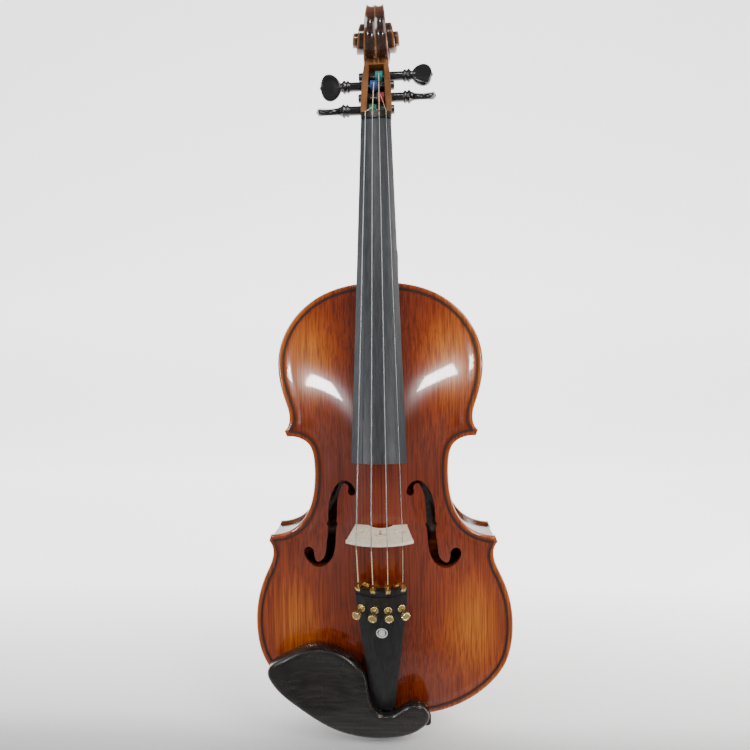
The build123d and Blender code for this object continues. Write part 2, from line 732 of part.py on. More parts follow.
with BuildPart() as tail_eye:
    with BuildSketch(TAIL):
        with Locations((0, EYE_ALONG)):
            Circle(4.5)
            Circle(3.6, mode=Mode.SUBTRACT)
    extrude(amount=-1.2)
    with BuildSketch(TAIL):
        with Locations((0, EYE_ALONG)):
            Circle(2.6)
    extrude(amount=-1.2)
save("tailpiece_eye", tail_eye.part)

# ---------------------------------------------------------------- fine tuners
PIN_RADIUS = 0.75
with BuildPart() as tuner_brackets:
    for index in range(4):
        # the plate against the tailpiece's underside, and the threaded sleeve through it
        with BuildSketch(tuner_plane(index, above=-TAIL_SHELL - 0.35)):
            with Locations((0, 4.5)):
                Rectangle(6.6, 17)
            Circle(1.45, mode=Mode.SUBTRACT)
        extrude(amount=-1.2)
        with BuildSketch(tuner_plane(index, above=-TAIL_SHELL - 1)):
            Circle(2.0)
            Circle(1.45, mode=Mode.SUBTRACT)
        extrude(amount=TAIL_SHELL + 2.4)
        # two cheeks that hold the pivot
        with BuildSketch(tuner_plane(index, above=-TAIL_SHELL - 1.5)):
            with Locations((-2.75, TUNER_PIVOT[0]), (2.75, TUNER_PIVOT[0])):
                Rectangle(1.1, 4.4)
        extrude(amount=-4.6)
    for index in range(4):
        low = tuner_plane(index).from_local_coords(Vector(-6, *TUNER_PIVOT))
        high = tuner_plane(index).from_local_coords(Vector(6, *TUNER_PIVOT))
        add(rod(low, high, PIN_RADIUS), mode=Mode.SUBTRACT)


with BuildPart() as tuner_nuts:
    for index in range(4):
        with BuildSketch(tuner_plane(index, above=0.15)):
            Circle(3.15)
            Circle(2.0, mode=Mode.SUBTRACT)
        extrude(amount=1.25)
save("tuner_nuts", tuner_nuts.part)

with BuildPart() as tuner_pins:
    for index in range(4):
        low = tuner_plane(index).from_local_coords(Vector(-3.3, *TUNER_PIVOT))
        high = tuner_plane(index).from_local_coords(Vector(3.3, *TUNER_PIVOT))
        add(rod(low, high, PIN_RADIUS))
frames = Compound(children=tuner_brackets.part.solids() + tuner_pins.part.solids())
save("tuner_frames", frames)

FORK = (21.6, 4.6)               # where a string passes the fork, along and above the screw's foot
STUB = 4.6                       # wire between the ball and the loose end of its stub
STRING_STOP = 7.0                # the string itself starts clear of the moving lever
BRIDGE_TOP_V = BRIDGE_V - BRIDGE_FOOT / 2 + BRIDGE_CROWN / 2


def string_foot(index, distance):
    """A point on the string's lower end, a distance from its ball towards the bridge."""
    ball_centre = tuner_plane(index).from_local_coords(Vector(0, FORK[0] - 2.9, FORK[1]))
    line = at(BRIDGE_X[index], BRIDGE_TOP_V, BRIDGE_H[index]) - ball_centre
    return ball_centre + line.normalized() * distance


SCREW_TIP = -8.2
KNOB_BOTTOM = 8.2
for index, letter in enumerate(STRING_NAMES):
    # the forked lever: a foot under the screw, a pivot, and an arm up past the tailpiece's end
    lever_side = Plane(
        origin=tuner_plane(index).from_local_coords(Vector(0, 0, 0)),
        x_dir=tuner_plane(index).y_dir, z_dir=tuner_plane(index).x_dir,
    )
    with BuildPart() as lever:
        with BuildSketch(lever_side):
            with BuildLine():
                Polyline(
                    (-2.4, SCREW_TIP - 0.3), (7, SCREW_TIP - 0.3), (10.2, -6.5), (14, -6.3), (18.6, -4.6),
                    (20.2, 0), (20.4, 6.6), (21.9, 6.9), (22.1, -0.5), (20.4, -6.0), (15, -8.9),
                    (10.6, -9.8), (-2.4, -9.8), close=True,
                )
            make_face()
        extrude(amount=1.9, both=True)
        # the slot of the fork, open upwards, and the pivot's hole
        with BuildSketch(tuner_plane(index, along=FORK[0], above=FORK[1] - 0.8)):
            Rectangle(1.5, 8)
        extrude(amount=8, mode=Mode.SUBTRACT)
        low = tuner_plane(index).from_local_coords(Vector(-3, *TUNER_PIVOT))
        high = tuner_plane(index).from_local_coords(Vector(3, *TUNER_PIVOT))
        add(rod(low, high, 0.80), mode=Mode.SUBTRACT)
    save(f"tuner_lever_{letter}", lever.part)

    with BuildPart() as screw:
        tip = tuner_plane(index).from_local_coords(Vector(0, 0, SCREW_TIP))
        end = tuner_plane(index).from_local_coords(Vector(0, 0, KNOB_BOTTOM + 1.8))
        add(rod(tip, end, 1.38))
    save(f"tuner_screw_{letter}", screw.part)

    with BuildPart() as knob:
        with BuildSketch(tuner_plane(index).offset(KNOB_BOTTOM)):
            Circle(3.35)
            Circle(1.45, mode=Mode.SUBTRACT)
        extrude(amount=1.8)
        with BuildSketch(tuner_plane(index).offset(KNOB_BOTTOM + 1.8)):
            Circle(3.35)
        extrude(amount=0.9)
        chamfer(knob.edges().filter_by(GeomType.CIRCLE).sort_by(SortBy.RADIUS)[-2:], length=0.35)
    save(f"tuner_knob_{letter}", knob.part)

    # the string's ball end, held behind the fork, with the wire's last turn through the slot
    seat = tuner_plane(index)
    low = seat.from_local_coords(Vector(-1.6, FORK[0] - 2.9, FORK[1]))
    high = seat.from_local_coords(Vector(1.6, FORK[0] - 2.9, FORK[1]))
    with BuildPart() as ball:
        add(rod(low, high, 1.2))
        add(rod((low + high) / 2, string_foot(index, STUB), STRING_RADIUS[index]))
    save(f"ball_end_{letter}", ball.part)

# ---------------------------------------------------------------- pegs, windings and strings
WINDING_X = (-3.0, -2.0, 2.0, 3.6)
WINDING_RADIUS = 4.3
WINDING_LENGTH = 6.0
CHEEK_HALF = 13.4
for index, letter in enumerate(STRING_NAMES):
    hand = PEG_SIDE[index]
    centre = peg_axis(index)
    end = PEG_HEAD_END[index]
    axis_plane = Plane(origin=centre, x_dir=(hand, 0, 0), z_dir=(0, -1, 0))
    turn = radians(PEG_HEAD_TURN[index])
    thumb_plane = Plane(origin=centre, x_dir=(hand, 0, 0), z_dir=(0, -cos(turn), sin(turn)))
    with BuildPart() as peg:
        with BuildSketch(axis_plane):
            with BuildLine():
                tail = -CHEEK_HALF - 1.5
                Line((tail, 0), (tail, PEG_RADIUS - 0.6))
                Line((tail, PEG_RADIUS - 0.6), (tail + 0.6, PEG_RADIUS))
                Line((tail + 0.6, PEG_RADIUS), (22.5, PEG_RADIUS))
                Spline((22.5, PEG_RADIUS), (24.2, 4.9), (25.4, 4.1), (27.0, 5.2), (28.6, 3.7), (31, 3.2))
                Line((31, 3.2), (end - 6, 2.4))
                Line((end - 6, 2.4), (end - 6, 0))
                Line((end - 6, 0), (tail, 0))
            make_face()
        revolve(axis=Axis(centre, (1, 0, 0)))
        # the heart-shaped thumb piece
        with BuildSketch(thumb_plane):
            with BuildLine():
                Spline(
                    (28.8, 0), (29.4, 2.0), (30.8, 4.6), (34.5, 8.2), (39.5, 10), (end - 4.4, 8.6),
                    (end - 1.6, 4.6), (end - 1.0, 1.6), (end - 0.9, 0),
                )
                mirror(about=Plane.XZ)
            make_face()
        extrude(amount=3.1, both=True)
    save(f"peg_{letter}", peg.part)

    with BuildPart() as winding:
        middle = centre + Vector(WINDING_X[index], 0, 0)
        reach = Vector(WINDING_LENGTH / 2, 0, 0)
        add(rod(middle - reach, middle + reach, WINDING_RADIUS))
        add(rod(middle - reach, middle + reach, PEG_RADIUS), mode=Mode.SUBTRACT)
    save(f"winding_{letter}", winding.part)

strings = []
for index, letter in enumerate(STRING_NAMES):
    radius = STRING_RADIUS[index]
    route = [
        peg_axis(index) + Vector(WINDING_X[index], -(WINDING_RADIUS + 0.3 + radius), 0),
        at(NUT_X[index], NUT_V + NUT_LENGTH - 0.5, NUT_STRING_H - 0.7),
        at(NUT_X[index], NUT_V + 0.4, NUT_STRING_H),
        at(BRIDGE_X[index], BRIDGE_TOP_V, BRIDGE_H[index]),
        string_foot(index, STRING_STOP),
    ]
    with BuildPart() as wire:
        for start, stop in zip(route, route[1:]):
            add(rod(start, stop, radius))
        with Locations(*route[1:-1]):
            Sphere(radius)
    strings.append(wire.part)
    save(f"string_{letter}", wire.part)

with BuildPart() as nut_cut:
    add(nut.part)
    for wire in strings:
        add(wire, mode=Mode.SUBTRACT)
save("nut", nut_cut.part)

with BuildPart() as bridge_cut:
    add(bridge.part)
    for wire in strings:
        add(wire, mode=Mode.SUBTRACT)
save("bridge", bridge_cut.part)

# ---------------------------------------------------------------- chinrest and its clamp
CUP_LOW = 9.5
with BuildPart() as chinrest:
    with BuildSketch(front(CUP_LOW)):
        with BuildLine():
            Spline(
                (-91.5, 48), (-79, 59), (-53, 67), (-28, 60.5), (-14.3, 46), (-10.4, 25), (-2, 12.6), (6, 12.6),
                (19.2, 20.8), (29.7, 21.4), (36.4, 11), (30, 1), (8, -7.6), (-16, -8), (-40, -1.5), (-68.5, 17),
                (-88, 37), periodic=True,
            )
        make_face()
    extrude(amount=14)
    # the top face falls towards the body's end
    with BuildSketch(SIDE):
        with BuildLine():
            Polyline(side(-12, 6), side(-12, 14), side(72, 23.5), side(72, 6), close=True)
        make_face()
    extrude(amount=100, both=True, mode=Mode.INTERSECT)
    fillet(chinrest.edges().filter_by(GeomType.BSPLINE), radius=1.5)
    # the dish for the jaw
    with Locations(at(-48, 35, 104)):
        Sphere(89, mode=Mode.SUBTRACT)
    # two feet that come down on the corks over the rib
    with BuildSketch(front(2.2)):
        with Locations((-31, 6.4), (27.6, 7.4)):
            RectangleRounded(17, 9, 3)
    extrude(amount=9)
save("chinrest", chinrest.part)

with BuildPart() as corks:
    with BuildSketch(front(0.15)):
        with Locations((-31, 7.0), (27.6, 7.6)):
            RectangleRounded(16, 7.4, 2.5)
    extrude(amount=2.05)
save("chinrest_corks", corks.part)

STUD_RADIUS = 1.5
BARREL_RADIUS = 3.0
HOOK_FACE = -(2 * EDGE + RIB_HEIGHT) - 1.6     # inner face of the hook plate, behind the back plate
BARREL_TOP = 2.0
BARREL_LENGTH = 30.0
for name, x in (("bass", -CLAMP_X), ("treble", CLAMP_X)):
    with BuildPart() as barrel:
        top_end = at(x, BARREL_V, BARREL_TOP)
        low_end = at(x, BARREL_V, BARREL_TOP - BARREL_LENGTH)
        add(rod(top_end, low_end, BARREL_RADIUS))
        add(rod(top_end, low_end, STUD_RADIUS + 0.08), mode=Mode.SUBTRACT)
        # the cross hole for the turning key
        middle = (top_end + low_end) / 2
        add(rod(middle - Vector(0, 0, 5), middle + Vector(0, 0, 5), 0.9), mode=Mode.SUBTRACT)
        for groove in (4, 8, 22, 26):
            ring = at(x, BARREL_V, BARREL_TOP - groove)
            with BuildSketch(Plane(origin=ring, z_dir=(0, 1, 0))):
                Circle(BARREL_RADIUS)
                Circle(BARREL_RADIUS - 0.35, mode=Mode.SUBTRACT)
            extrude(amount=0.8, mode=Mode.SUBTRACT)
    save(f"clamp_barrel_{name}", barrel.part)

with BuildPart() as studs:
    for x in (-CLAMP_X, CLAMP_X):
        add(rod(at(x, BARREL_V, CUP_LOW), at(x, BARREL_V, -9), STUD_RADIUS))
        add(rod(at(x, BARREL_V, CUP_LOW), at(x, BARREL_V, CUP_LOW - 2), 3.2))
save("clamp_studs", studs.part)

with BuildPart() as hook:
    with BuildSketch(back(-HOOK_FACE - 2 * EDGE - RIB_HEIGHT)):
        with Locations((0, -0.6)):
            RectangleRounded(54, 15.6, 4)
        with Locations((0, 10)):
            Circle(9, mode=Mode.SUBTRACT)
    extrude(amount=1.8)
    for x in (-CLAMP_X, CLAMP_X):
        add(rod(at(x, BARREL_V, HOOK_FACE - 1.0), at(x, BARREL_V, -20), STUD_RADIUS))
        add(rod(at(x, BARREL_V, HOOK_FACE), at(x, BARREL_V, HOOK_FACE + 2.5), 2.8))
save("clamp_hook", hook.part)

with BuildPart() as hook_corks:
    with BuildSketch(back(0.2)):
        with Locations((-19.5, 4.0), (19.5, 4.0)):
            RectangleRounded(13, 4.6, 1.5)
    extrude(amount=1.4)
save("hook_corks", hook_corks.part)
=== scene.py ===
"""Looks of the violin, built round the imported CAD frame.

The frame is in metres, with z up to the scroll and the strings facing -Y. Lengths here are in millimetres
unless a comment says metres: x across, v along the body from its lower end, and h above the top's edge.
"""

import json
from math import asin, atan2, cos, pi, radians, sin, sqrt

import bmesh
import bpy
import numpy as np
from mathutils import Matrix, Vector, geometry


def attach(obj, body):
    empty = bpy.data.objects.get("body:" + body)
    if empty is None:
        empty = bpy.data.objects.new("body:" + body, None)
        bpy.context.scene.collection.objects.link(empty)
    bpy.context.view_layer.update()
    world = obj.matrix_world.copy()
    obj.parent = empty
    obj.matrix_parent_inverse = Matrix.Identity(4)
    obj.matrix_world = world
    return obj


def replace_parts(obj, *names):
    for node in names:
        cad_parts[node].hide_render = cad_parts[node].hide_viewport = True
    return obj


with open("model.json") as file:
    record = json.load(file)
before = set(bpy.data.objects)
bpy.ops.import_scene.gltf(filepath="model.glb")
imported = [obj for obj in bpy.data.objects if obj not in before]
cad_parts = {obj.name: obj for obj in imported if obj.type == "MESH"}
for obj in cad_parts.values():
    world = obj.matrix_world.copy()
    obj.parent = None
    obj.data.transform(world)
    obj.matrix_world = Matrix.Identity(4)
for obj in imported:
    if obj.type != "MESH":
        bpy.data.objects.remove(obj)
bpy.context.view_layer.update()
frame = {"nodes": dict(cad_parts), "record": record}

MM = 0.001
BODY_BOTTOM = 10.0
BODY_LENGTH = 356.0
EDGE_TOP = 19.5     # from the middle plane out to the edge of either plate
RIB_TOP, RIB_LOW = -4.0, -35.0
BOARD_END, BOARD_NUT = 216, 486


def at(x, v, h):
    """A point given across, along and above the top's edge, in the frame's metres."""
    return Vector((x, -(EDGE_TOP + h), BODY_BOTTOM + v)) * MM


# ------------------------------------------------------------------ materials
class Mat:
    """A node material, put together step by step. Texture space is the object's, in metres."""

    def __init__(self, name):
        self.mat = bpy.data.materials.new(name)
        self.mat.use_nodes = True
        self.nodes = self.mat.node_tree.nodes
        self.links = self.mat.node_tree.links
        self.shader = self.nodes["Principled BSDF"]
        self.coords = self.nodes.new("ShaderNodeTexCoord").outputs["Object"]

    def put(self, socket, value):
        if hasattr(value, "is_output"):
            self.links.new(value, socket)
        else:
            socket.default_value = value

    def set(self, **inputs):
        for name, value in inputs.items():
            self.put(self.shader.inputs[name.replace("_", " ")], value)
        return self

    def space(self, scale=(1, 1, 1), turn=(0, 0, 0), shift=(0, 0, 0)):
        node = self.nodes.new("ShaderNodeMapping")
        node.inputs["Scale"].default_value = scale
        node.inputs["Rotation"].default_value = turn
        node.inputs["Location"].default_value = shift
        self.links.new(self.coords, node.inputs["Vector"])
        return node.outputs["Vector"]

    def noise(self, space, scale, detail=4.0, rough=0.55, warp=0.0):
        node = self.nodes.new("ShaderNodeTexNoise")
        node.inputs["Scale"].default_value = scale
        node.inputs["Detail"].default_value = detail
        node.inputs["Roughness"].default_value = rough
        node.inputs["Distortion"].default_value = warp
        self.links.new(space, node.inputs["Vector"])
        return node.outputs["Fac"]

    def wave(self, space, scale, warp, direction, detail=2.0):
        node = self.nodes.new("ShaderNodeTexWave")
        node.bands_direction = direction
        node.inputs["Scale"].default_value = scale
        node.inputs["Distortion"].default_value = warp
        node.inputs["Detail"].default_value = detail
        self.links.new(space, node.inputs["Vector"])
        return node.outputs["Fac"]

    def ramp(self, value, stops):
        node = self.nodes.new("ShaderNodeValToRGB")
        ramp = node.color_ramp
        while len(ramp.elements) < len(stops):
            ramp.elements.new(0.5)
        for element, (place, colour) in zip(ramp.elements, stops):
            element.position = place
            element.color = (*colour, 1)
        self.links.new(value, node.inputs["Fac"])
        return node.outputs["Color"]

    def grey(self, value, low, high, from_low=0.0, from_high=1.0):
        """A value carried from one range to another, and held at its ends."""
        node = self.nodes.new("ShaderNodeMapRange")
        node.inputs["From Min"].default_value = from_low
        node.inputs["From Max"].default_value = from_high
        node.inputs["To Min"].default_value = low
        node.inputs["To Max"].default_value = high
        self.links.new(value, node.inputs["Value"])
        return node.outputs["Result"]

    def mix(self, factor, a, b, how="MIX"):
        node = self.nodes.new("ShaderNodeMix")
        node.data_type = "RGBA"
        node.blend_type = how
        node.clamp_factor = True
        sockets = [s for s in node.inputs if s.enabled]
        for socket, value in zip(sockets, (factor, a, b)):
            if not hasattr(value, "is_output") and isinstance(value, tuple) and len(value) == 3:
                value = (*value, 1)
            self.put(socket, value)
        return next(s for s in node.outputs if s.enabled)

    def tint(self, amount, colour, by):
        """A colour multiplied by another, as far as amount says."""
        return self.mix(amount, colour, self.mix(1.0, colour, by, "MULTIPLY"))

    def maths(self, how, a, b):
        node = self.nodes.new("ShaderNodeMath")
        node.operation = how
        self.put(node.inputs[0], a)
        self.put(node.inputs[1], b)
        return node.outputs[0]

    def attribute(self, name):
        node = self.nodes.new("ShaderNodeAttribute")
        node.attribute_name = name
        return node.outputs["Fac"]

    def axis(self, which):
        node = self.nodes.new("ShaderNodeSeparateXYZ")
        self.links.new(self.coords, node.inputs[0])
        return node.outputs[which]

    def bump(self, height, distance, strength=1.0):
        node = self.nodes.new("ShaderNodeBump")
        node.inputs["Distance"].default_value = distance
        node.inputs["Strength"].default_value = strength
        self.links.new(height, node.inputs["Height"])
        self.links.new(node.outputs["Normal"], self.shader.inputs["Normal"])
        return self


def spruce(name):
    """Fine upright spruce grain under a glossy varnish.

    The attribute "burst" goes from dark to amber; a second attribute draws the dark line of the purfling,
    widened by painted shade from its channel.
    """
    m = Mat(name)
    grain_space = m.space((1, 1, 0.012))
    wobble = m.noise(m.space((1, 1, 0.2)), 9, 2)
    grain = m.noise(grain_space, 900, 3, 0.6, 0.3)
    coarse = m.noise(grain_space, 260, 2, 0.5, 0.2)
    fleck = m.noise(m.space((1, 1, 0.25)), 160, 3)
    burst = m.maths("ADD", m.attribute("burst"), m.grey(wobble, -0.16, 0.16))
    colour = m.ramp(burst, [
        (0.0, (0.10, 0.010, 0.002)), (0.18, (0.19, 0.022, 0.003)), (0.42, (0.34, 0.052, 0.005)),
        (0.66, (0.54, 0.13, 0.010)), (1.0, (0.78, 0.27, 0.022)),
    ])
    colour = m.tint(m.grey(grain, 0, 1, 0.42, 0.62), colour, (0.55, 0.42, 0.34))
    colour = m.tint(m.grey(coarse, 0, 0.5, 0.45, 0.65), colour, (0.70, 0.58, 0.5))
    colour = m.tint(m.grey(fleck, 0, 0.35, 0.5, 0.75), colour, (1.25, 1.15, 1.0))
    # Painted shade: the purfling's dark line is drawn about 3 mm wide, wider than the inlay, to darken the
    # channel it lies in.
    colour = m.mix(m.attribute("purfling_with_painted_shade"), colour, (0.055, 0.014, 0.008))
    rough = m.grey(m.noise(m.space(), 60), 0.16, 0.27)
    m.set(Base_Color=colour, Roughness=rough, Coat_Weight=0.75, Coat_Roughness=0.05, Specular_IOR_Level=0.45)
    return m.bump(m.maths("ADD", grain, coarse), 0.00006, 0.35).mat


def maple(name, light, deep):
    """Flamed maple: bands across the grain that shift light and dark, under varnish."""
    m = Mat(name)
    flame = m.wave(m.space(turn=(0, 0.16, 0)), 58, 3.2, "Z", 1.5)
    broad = m.wave(m.space(turn=(0, 0.1, 0), shift=(0.3, 0.2, 0.1)), 23, 5.0, "Z")
    pore = m.noise(m.space((1, 1, 0.06)), 700, 3)
    cloud = m.noise(m.space(), 14, 3)
    colour = m.mix(m.maths("MULTIPLY", m.grey(flame, 0, 0.75), m.grey(broad, 0.35, 1)), deep, light)
    colour = m.tint(m.grey(pore, 0, 0.6, 0.5, 0.7), colour, (0.55, 0.45, 0.4))
    colour = m.tint(m.grey(cloud, 0, 0.5), colour, (0.6, 0.5, 0.45))
    m.set(Base_Color=colour, Roughness=m.grey(cloud, 0.14, 0.24), Coat_Weight=0.7, Coat_Roughness=0.06)
    return m.bump(pore, 0.00004, 0.3).mat


def neck_wood(name):
    """Dark stained maple, with painted light: the top of the scroll is lighter and redder as if lit from above.
    Orange along the sharp edges is partly varnish rubbed through and partly painted highlight.
    """
    m = Mat(name)
    flame = m.wave(m.space(turn=(0.2, 0.1, 0)), 85, 5.0, "Z", 3)
    pore = m.noise(m.space((1, 1, 0.06)), 700, 3)
    cloud = m.noise(m.space(), 30)
    colour = m.mix(m.grey(flame, 0, 0.7, 0.2, 0.9), (0.020, 0.008, 0.005), (0.060, 0.017, 0.007))
    colour = m.mix(m.grey(cloud, 0, 0.6, 0.4, 0.7), colour, (0.10, 0.026, 0.009))
    # Painted light: near the top of the scroll the wood turns lighter and redder, as if lit from above.
    colour = m.mix(m.grey(m.axis(2), 0, 0.8, 0.578, 0.597), colour, (0.34, 0.085, 0.022))
    colour = m.mix(m.grey(pore, 0, 0.5, 0.5, 0.7), colour, (0.03, 0.012, 0.008))
    # Painted highlight along the sharp edges, broken up by noise like varnish rubbed through to orange.
    edge = m.maths("MULTIPLY", m.attribute("worn_and_highlit_edges"), m.grey(cloud, 0.35, 1.0, 0.3, 0.6))
    colour = m.mix(edge, colour, (0.55, 0.22, 0.06))
    m.set(Base_Color=colour, Roughness=m.grey(cloud, 0.16, 0.3), Coat_Weight=0.7, Coat_Roughness=0.06)
    return m.bump(pore, 0.00004, 0.3).mat


def ebony(name, base, high, rough, coat=0.0, grain=(1, 1, 0.03)):
    """Close black wood with pores and slight streaks along its grain."""
    m = Mat(name)
    streak = m.noise(m.space(grain), 520, 4, 0.6)
    broad = m.noise(m.space(grain), 62.4, 3)
    smear = m.noise(m.space(), 45, 5, 0.65)
    colour = m.mix(m.grey(streak, 0, 1, 0.4, 0.7), base, high)
    colour = m.tint(m.grey(broad, 0, 0.6, 0.35, 0.7), colour, (0.6, 0.55, 0.55))
    m.set(Base_Color=colour, Roughness=m.grey(smear, rough - 0.07, rough + 0.09))
    m.set(Coat_Weight=coat, Coat_Roughness=0.12)
    return m.bump(streak, 0.00005, 0.4).mat


def bare_wood(name, base, dark):
    """Wood with no varnish: soft streaks and short flecks."""
    m = Mat(name)
    streak = m.noise(m.space((1, 1, 0.08)), 420)
    fleck = m.noise(m.space((0.3, 1, 1)), 900, 2)
    colour = m.mix(m.grey(streak, 0, 1, 0.35, 0.7), base, dark)
    colour = m.mix(m.grey(fleck, 0, 0.35, 0.55, 0.7), colour, dark)
    m.set(Base_Color=colour, Roughness=m.grey(fleck, 0.52, 0.7))
    return m.bump(streak, 0.00005, 0.4).mat


def metal(name, base, worn, rough):
    """Polished metal with finger marks and a worn tone in places."""
    m = Mat(name)
    smear = m.noise(m.space(), 240, 5, 0.65)
    wear = m.noise(m.space(), 90)
    colour = m.mix(m.grey(wear, 0, 0.5, 0.45, 0.75), base, worn)
    m.set(Base_Color=colour, Metallic=1.0, Roughness=m.grey(smear, rough * 0.6, rough * 1.6))
    return m.bump(smear, 0.00003, 0.25).mat


SILK_BELOW, SILK_ABOVE = 0.1650, 0.4975     # heights in metres where the strings' silk ends and starts


def wound(name):
    """Wound string: fine turns, with silk on the stretches above the tailpiece and beyond the nut."""
    m = Mat(name)
    height = m.axis(2)
    turns = m.wave(m.space(), 1100, 0.3, "Z")
    twist = m.wave(m.space(turn=(0, 0.5, 0)), 190, 0.6, "Z")
    # Painted shade: the steel is darker between the turns, in the grooves of the winding.
    steel_with_groove_shade = m.mix(turns, (0.22, 0.22, 0.23), (0.55, 0.55, 0.57))
    thread = m.mix(m.grey(twist, 0, 1, 0.45, 0.55), (0.86, 0.82, 0.70), (0.62, 0.40, 0.08))
    below = m.grey(height, 1, 0, SILK_BELOW, SILK_BELOW + 0.0005)
    ends = m.maths("MAXIMUM", below, m.maths("GREATER_THAN", height, SILK_ABOVE))
    m.set(Base_Color=m.mix(ends, steel_with_groove_shade, thread))
    m.set(Metallic=m.grey(ends, 1, 0), Roughness=m.grey(ends, 0.28, 0.55))
    return m.bump(turns, 0.00003, 0.6).mat


def silk(name, base):
    """Coloured thread wound round a string's end on its peg."""
    m = Mat(name)
    turns = m.wave(m.space(), 420, 0.8, "X")
    fuzz = m.noise(m.space(), 1500, 3)
    # Painted shade: the thread is darker between its turns.
    colour = m.mix(turns, tuple(c * 0.35 for c in base), base)
    m.set(Base_Color=colour, Roughness=m.grey(fuzz, 0.45, 0.7))
    return m.bump(turns, 0.0002, 0.8).mat


def pearl(name):
    """Shell with a cloudy sheen."""
    m = Mat(name)
    sheen = m.noise(m.space(), 330, 4, 0.6, 2.0)
    tones = [(0.3, (0.55, 0.62, 0.60)), (0.5, (0.85, 0.85, 0.80)), (0.7, (0.80, 0.66, 0.66))]
    colour = m.ramp(sheen, tones)
    m.set(Base_Color=colour, Roughness=m.grey(sheen, 0.1, 0.3), Coat_Weight=0.6)
    return m.bump(sheen, 0.00005, 0.2).mat


def cork(name):
    """Grainy cork with small pits."""
    m = Mat(name)
    grain = m.noise(m.space(), 700, 4, 0.7)
    pits = m.noise(m.space(), 1600, 2)
    tones = [(0.35, (0.16, 0.08, 0.035)), (0.5, (0.42, 0.26, 0.13)), (0.7, (0.60, 0.42, 0.24))]
    colour = m.ramp(grain, tones)
    m.set(Base_Color=colour, Roughness=m.grey(pits, 0.75, 0.95))
    return m.bump(pits, 0.0002, 0.7).mat


ACROSS = (0.05, 1, 1)       # grain that runs from side to side
MATERIALS = {
    "top_varnish": spruce("top_varnish"),
    "back_varnish": maple("back_varnish", (0.36, 0.095, 0.014), (0.17, 0.034, 0.006)),
    "rib_varnish": maple("rib_varnish", (0.17, 0.050, 0.014), (0.075, 0.020, 0.007)),
    "neck_wood": neck_wood("neck_wood"),
    "purfling": ebony("purfling", (0.012, 0.008, 0.006), (0.03, 0.015, 0.01), 0.35, 0.5),
    "inner_wood": bare_wood("inner_wood", (0.62, 0.45, 0.25), (0.42, 0.27, 0.13)),
    "board_ebony": ebony("board_ebony", (0.040, 0.044, 0.049), (0.068, 0.074, 0.080), 0.40),
    "ebony": ebony("ebony", (0.006, 0.005, 0.005), (0.034, 0.026, 0.022), 0.26, 0.2, ACROSS),
    "peg_ebony": ebony("peg_ebony", (0.009, 0.008, 0.008), (0.022, 0.02, 0.02), 0.22, 0.4, ACROSS),
    "tailpiece_black": ebony("tailpiece_black", (0.010, 0.010, 0.011), (0.026, 0.026, 0.028), 0.36),
    "pearl": pearl("pearl"),
    "cord": ebony("cord", (0.012, 0.012, 0.012), (0.03, 0.03, 0.03), 0.4),
    "gilt": metal("gilt", (0.95, 0.74, 0.32), (0.80, 0.54, 0.18), 0.2),
    "string_metal": wound("string_metal"),
    "ball_brass": metal("ball_brass", (0.80, 0.60, 0.25), (0.5, 0.35, 0.15), 0.3),
    "silk_green": silk("silk_green", (0.02, 0.26, 0.16)),
    "silk_blue": silk("silk_blue", (0.03, 0.14, 0.45)),
    "silk_teal": silk("silk_teal", (0.02, 0.35, 0.33)),
    "silk_red": silk("silk_red", (0.45, 0.03, 0.03)),
    "bridge_maple": bare_wood("bridge_maple", (0.95, 0.88, 0.70), (0.80, 0.66, 0.44)),
    "cork": cork("cork"),
    "clamp_metal": metal("clamp_metal", (0.80, 0.80, 0.82), (0.55, 0.55, 0.58), 0.15),
}
for entry in frame["record"]["subparts"]:
    node = frame["nodes"][entry["node"]]
    node.data.materials.clear()
    node.data.materials.append(MATERIALS[entry["material_slot"]])


def piece(name, verts, faces, material, body="violin", crease=40):
    """A smooth mesh that rides on a body, from verts in metres. Edges sharper than crease degrees stay."""
    mesh = bpy.data.meshes.new(name)
    mesh.from_pydata([tuple(v) for v in verts], [], faces)
    mesh.validate()
    obj = bpy.data.objects.new(name, mesh)
    bpy.context.scene.collection.objects.link(obj)
    work = bmesh.new()
    work.from_mesh(mesh)
    bmesh.ops.remove_doubles(work, verts=work.verts, dist=1e-6)
    bmesh.ops.recalc_face_normals(work, faces=work.faces)
    work.to_mesh(mesh)
    work.free()
    mesh.polygons.foreach_set("use_smooth", [True] * len(mesh.polygons))
    mesh.set_sharp_from_angle(angle=radians(crease))
    mesh.materials.append(MATERIALS[material])
    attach(obj, body)
    return obj


# ------------------------------------------------------------------ outline of the plates
def natural_spline(points, steps):
    """Points along a smooth curve through the given ones, spaced by chord length."""
    p = np.array(points, float)
    t = np.concatenate([[0], np.cumsum(np.linalg.norm(np.diff(p, axis=0), axis=1))])
    n = len(p)
    h = np.diff(t)
    a = np.eye(n)
    b = np.zeros_like(p)
    for i in range(1, n - 1):
        a[i, i - 1:i + 2] = h[i - 1], 2 * (h[i - 1] + h[i]), h[i]
        b[i] = 6 * ((p[i + 1] - p[i]) / h[i] - (p[i] - p[i - 1]) / h[i - 1])
    a[0, :3] = h[1], -(h[0] + h[1]), h[0]
    a[-1, -3:] = h[-1], -(h[-2] + h[-1]), h[-2]
    m = np.linalg.solve(a, b)
    out = []
    for s in np.linspace(0, t[-1], steps):
        i = min(n - 2, int(np.searchsorted(t, s, side="right") - 1))
        u, w = t[i + 1] - s, s - t[i]
        out.append((m[i] * u**3 + m[i + 1] * w**3) / (6 * h[i]) + (p[i] / h[i] - m[i] * h[i] / 6) * u
                   + (p[i + 1] / h[i] - m[i + 1] * h[i] / 6) * w)
    return np.array(out)


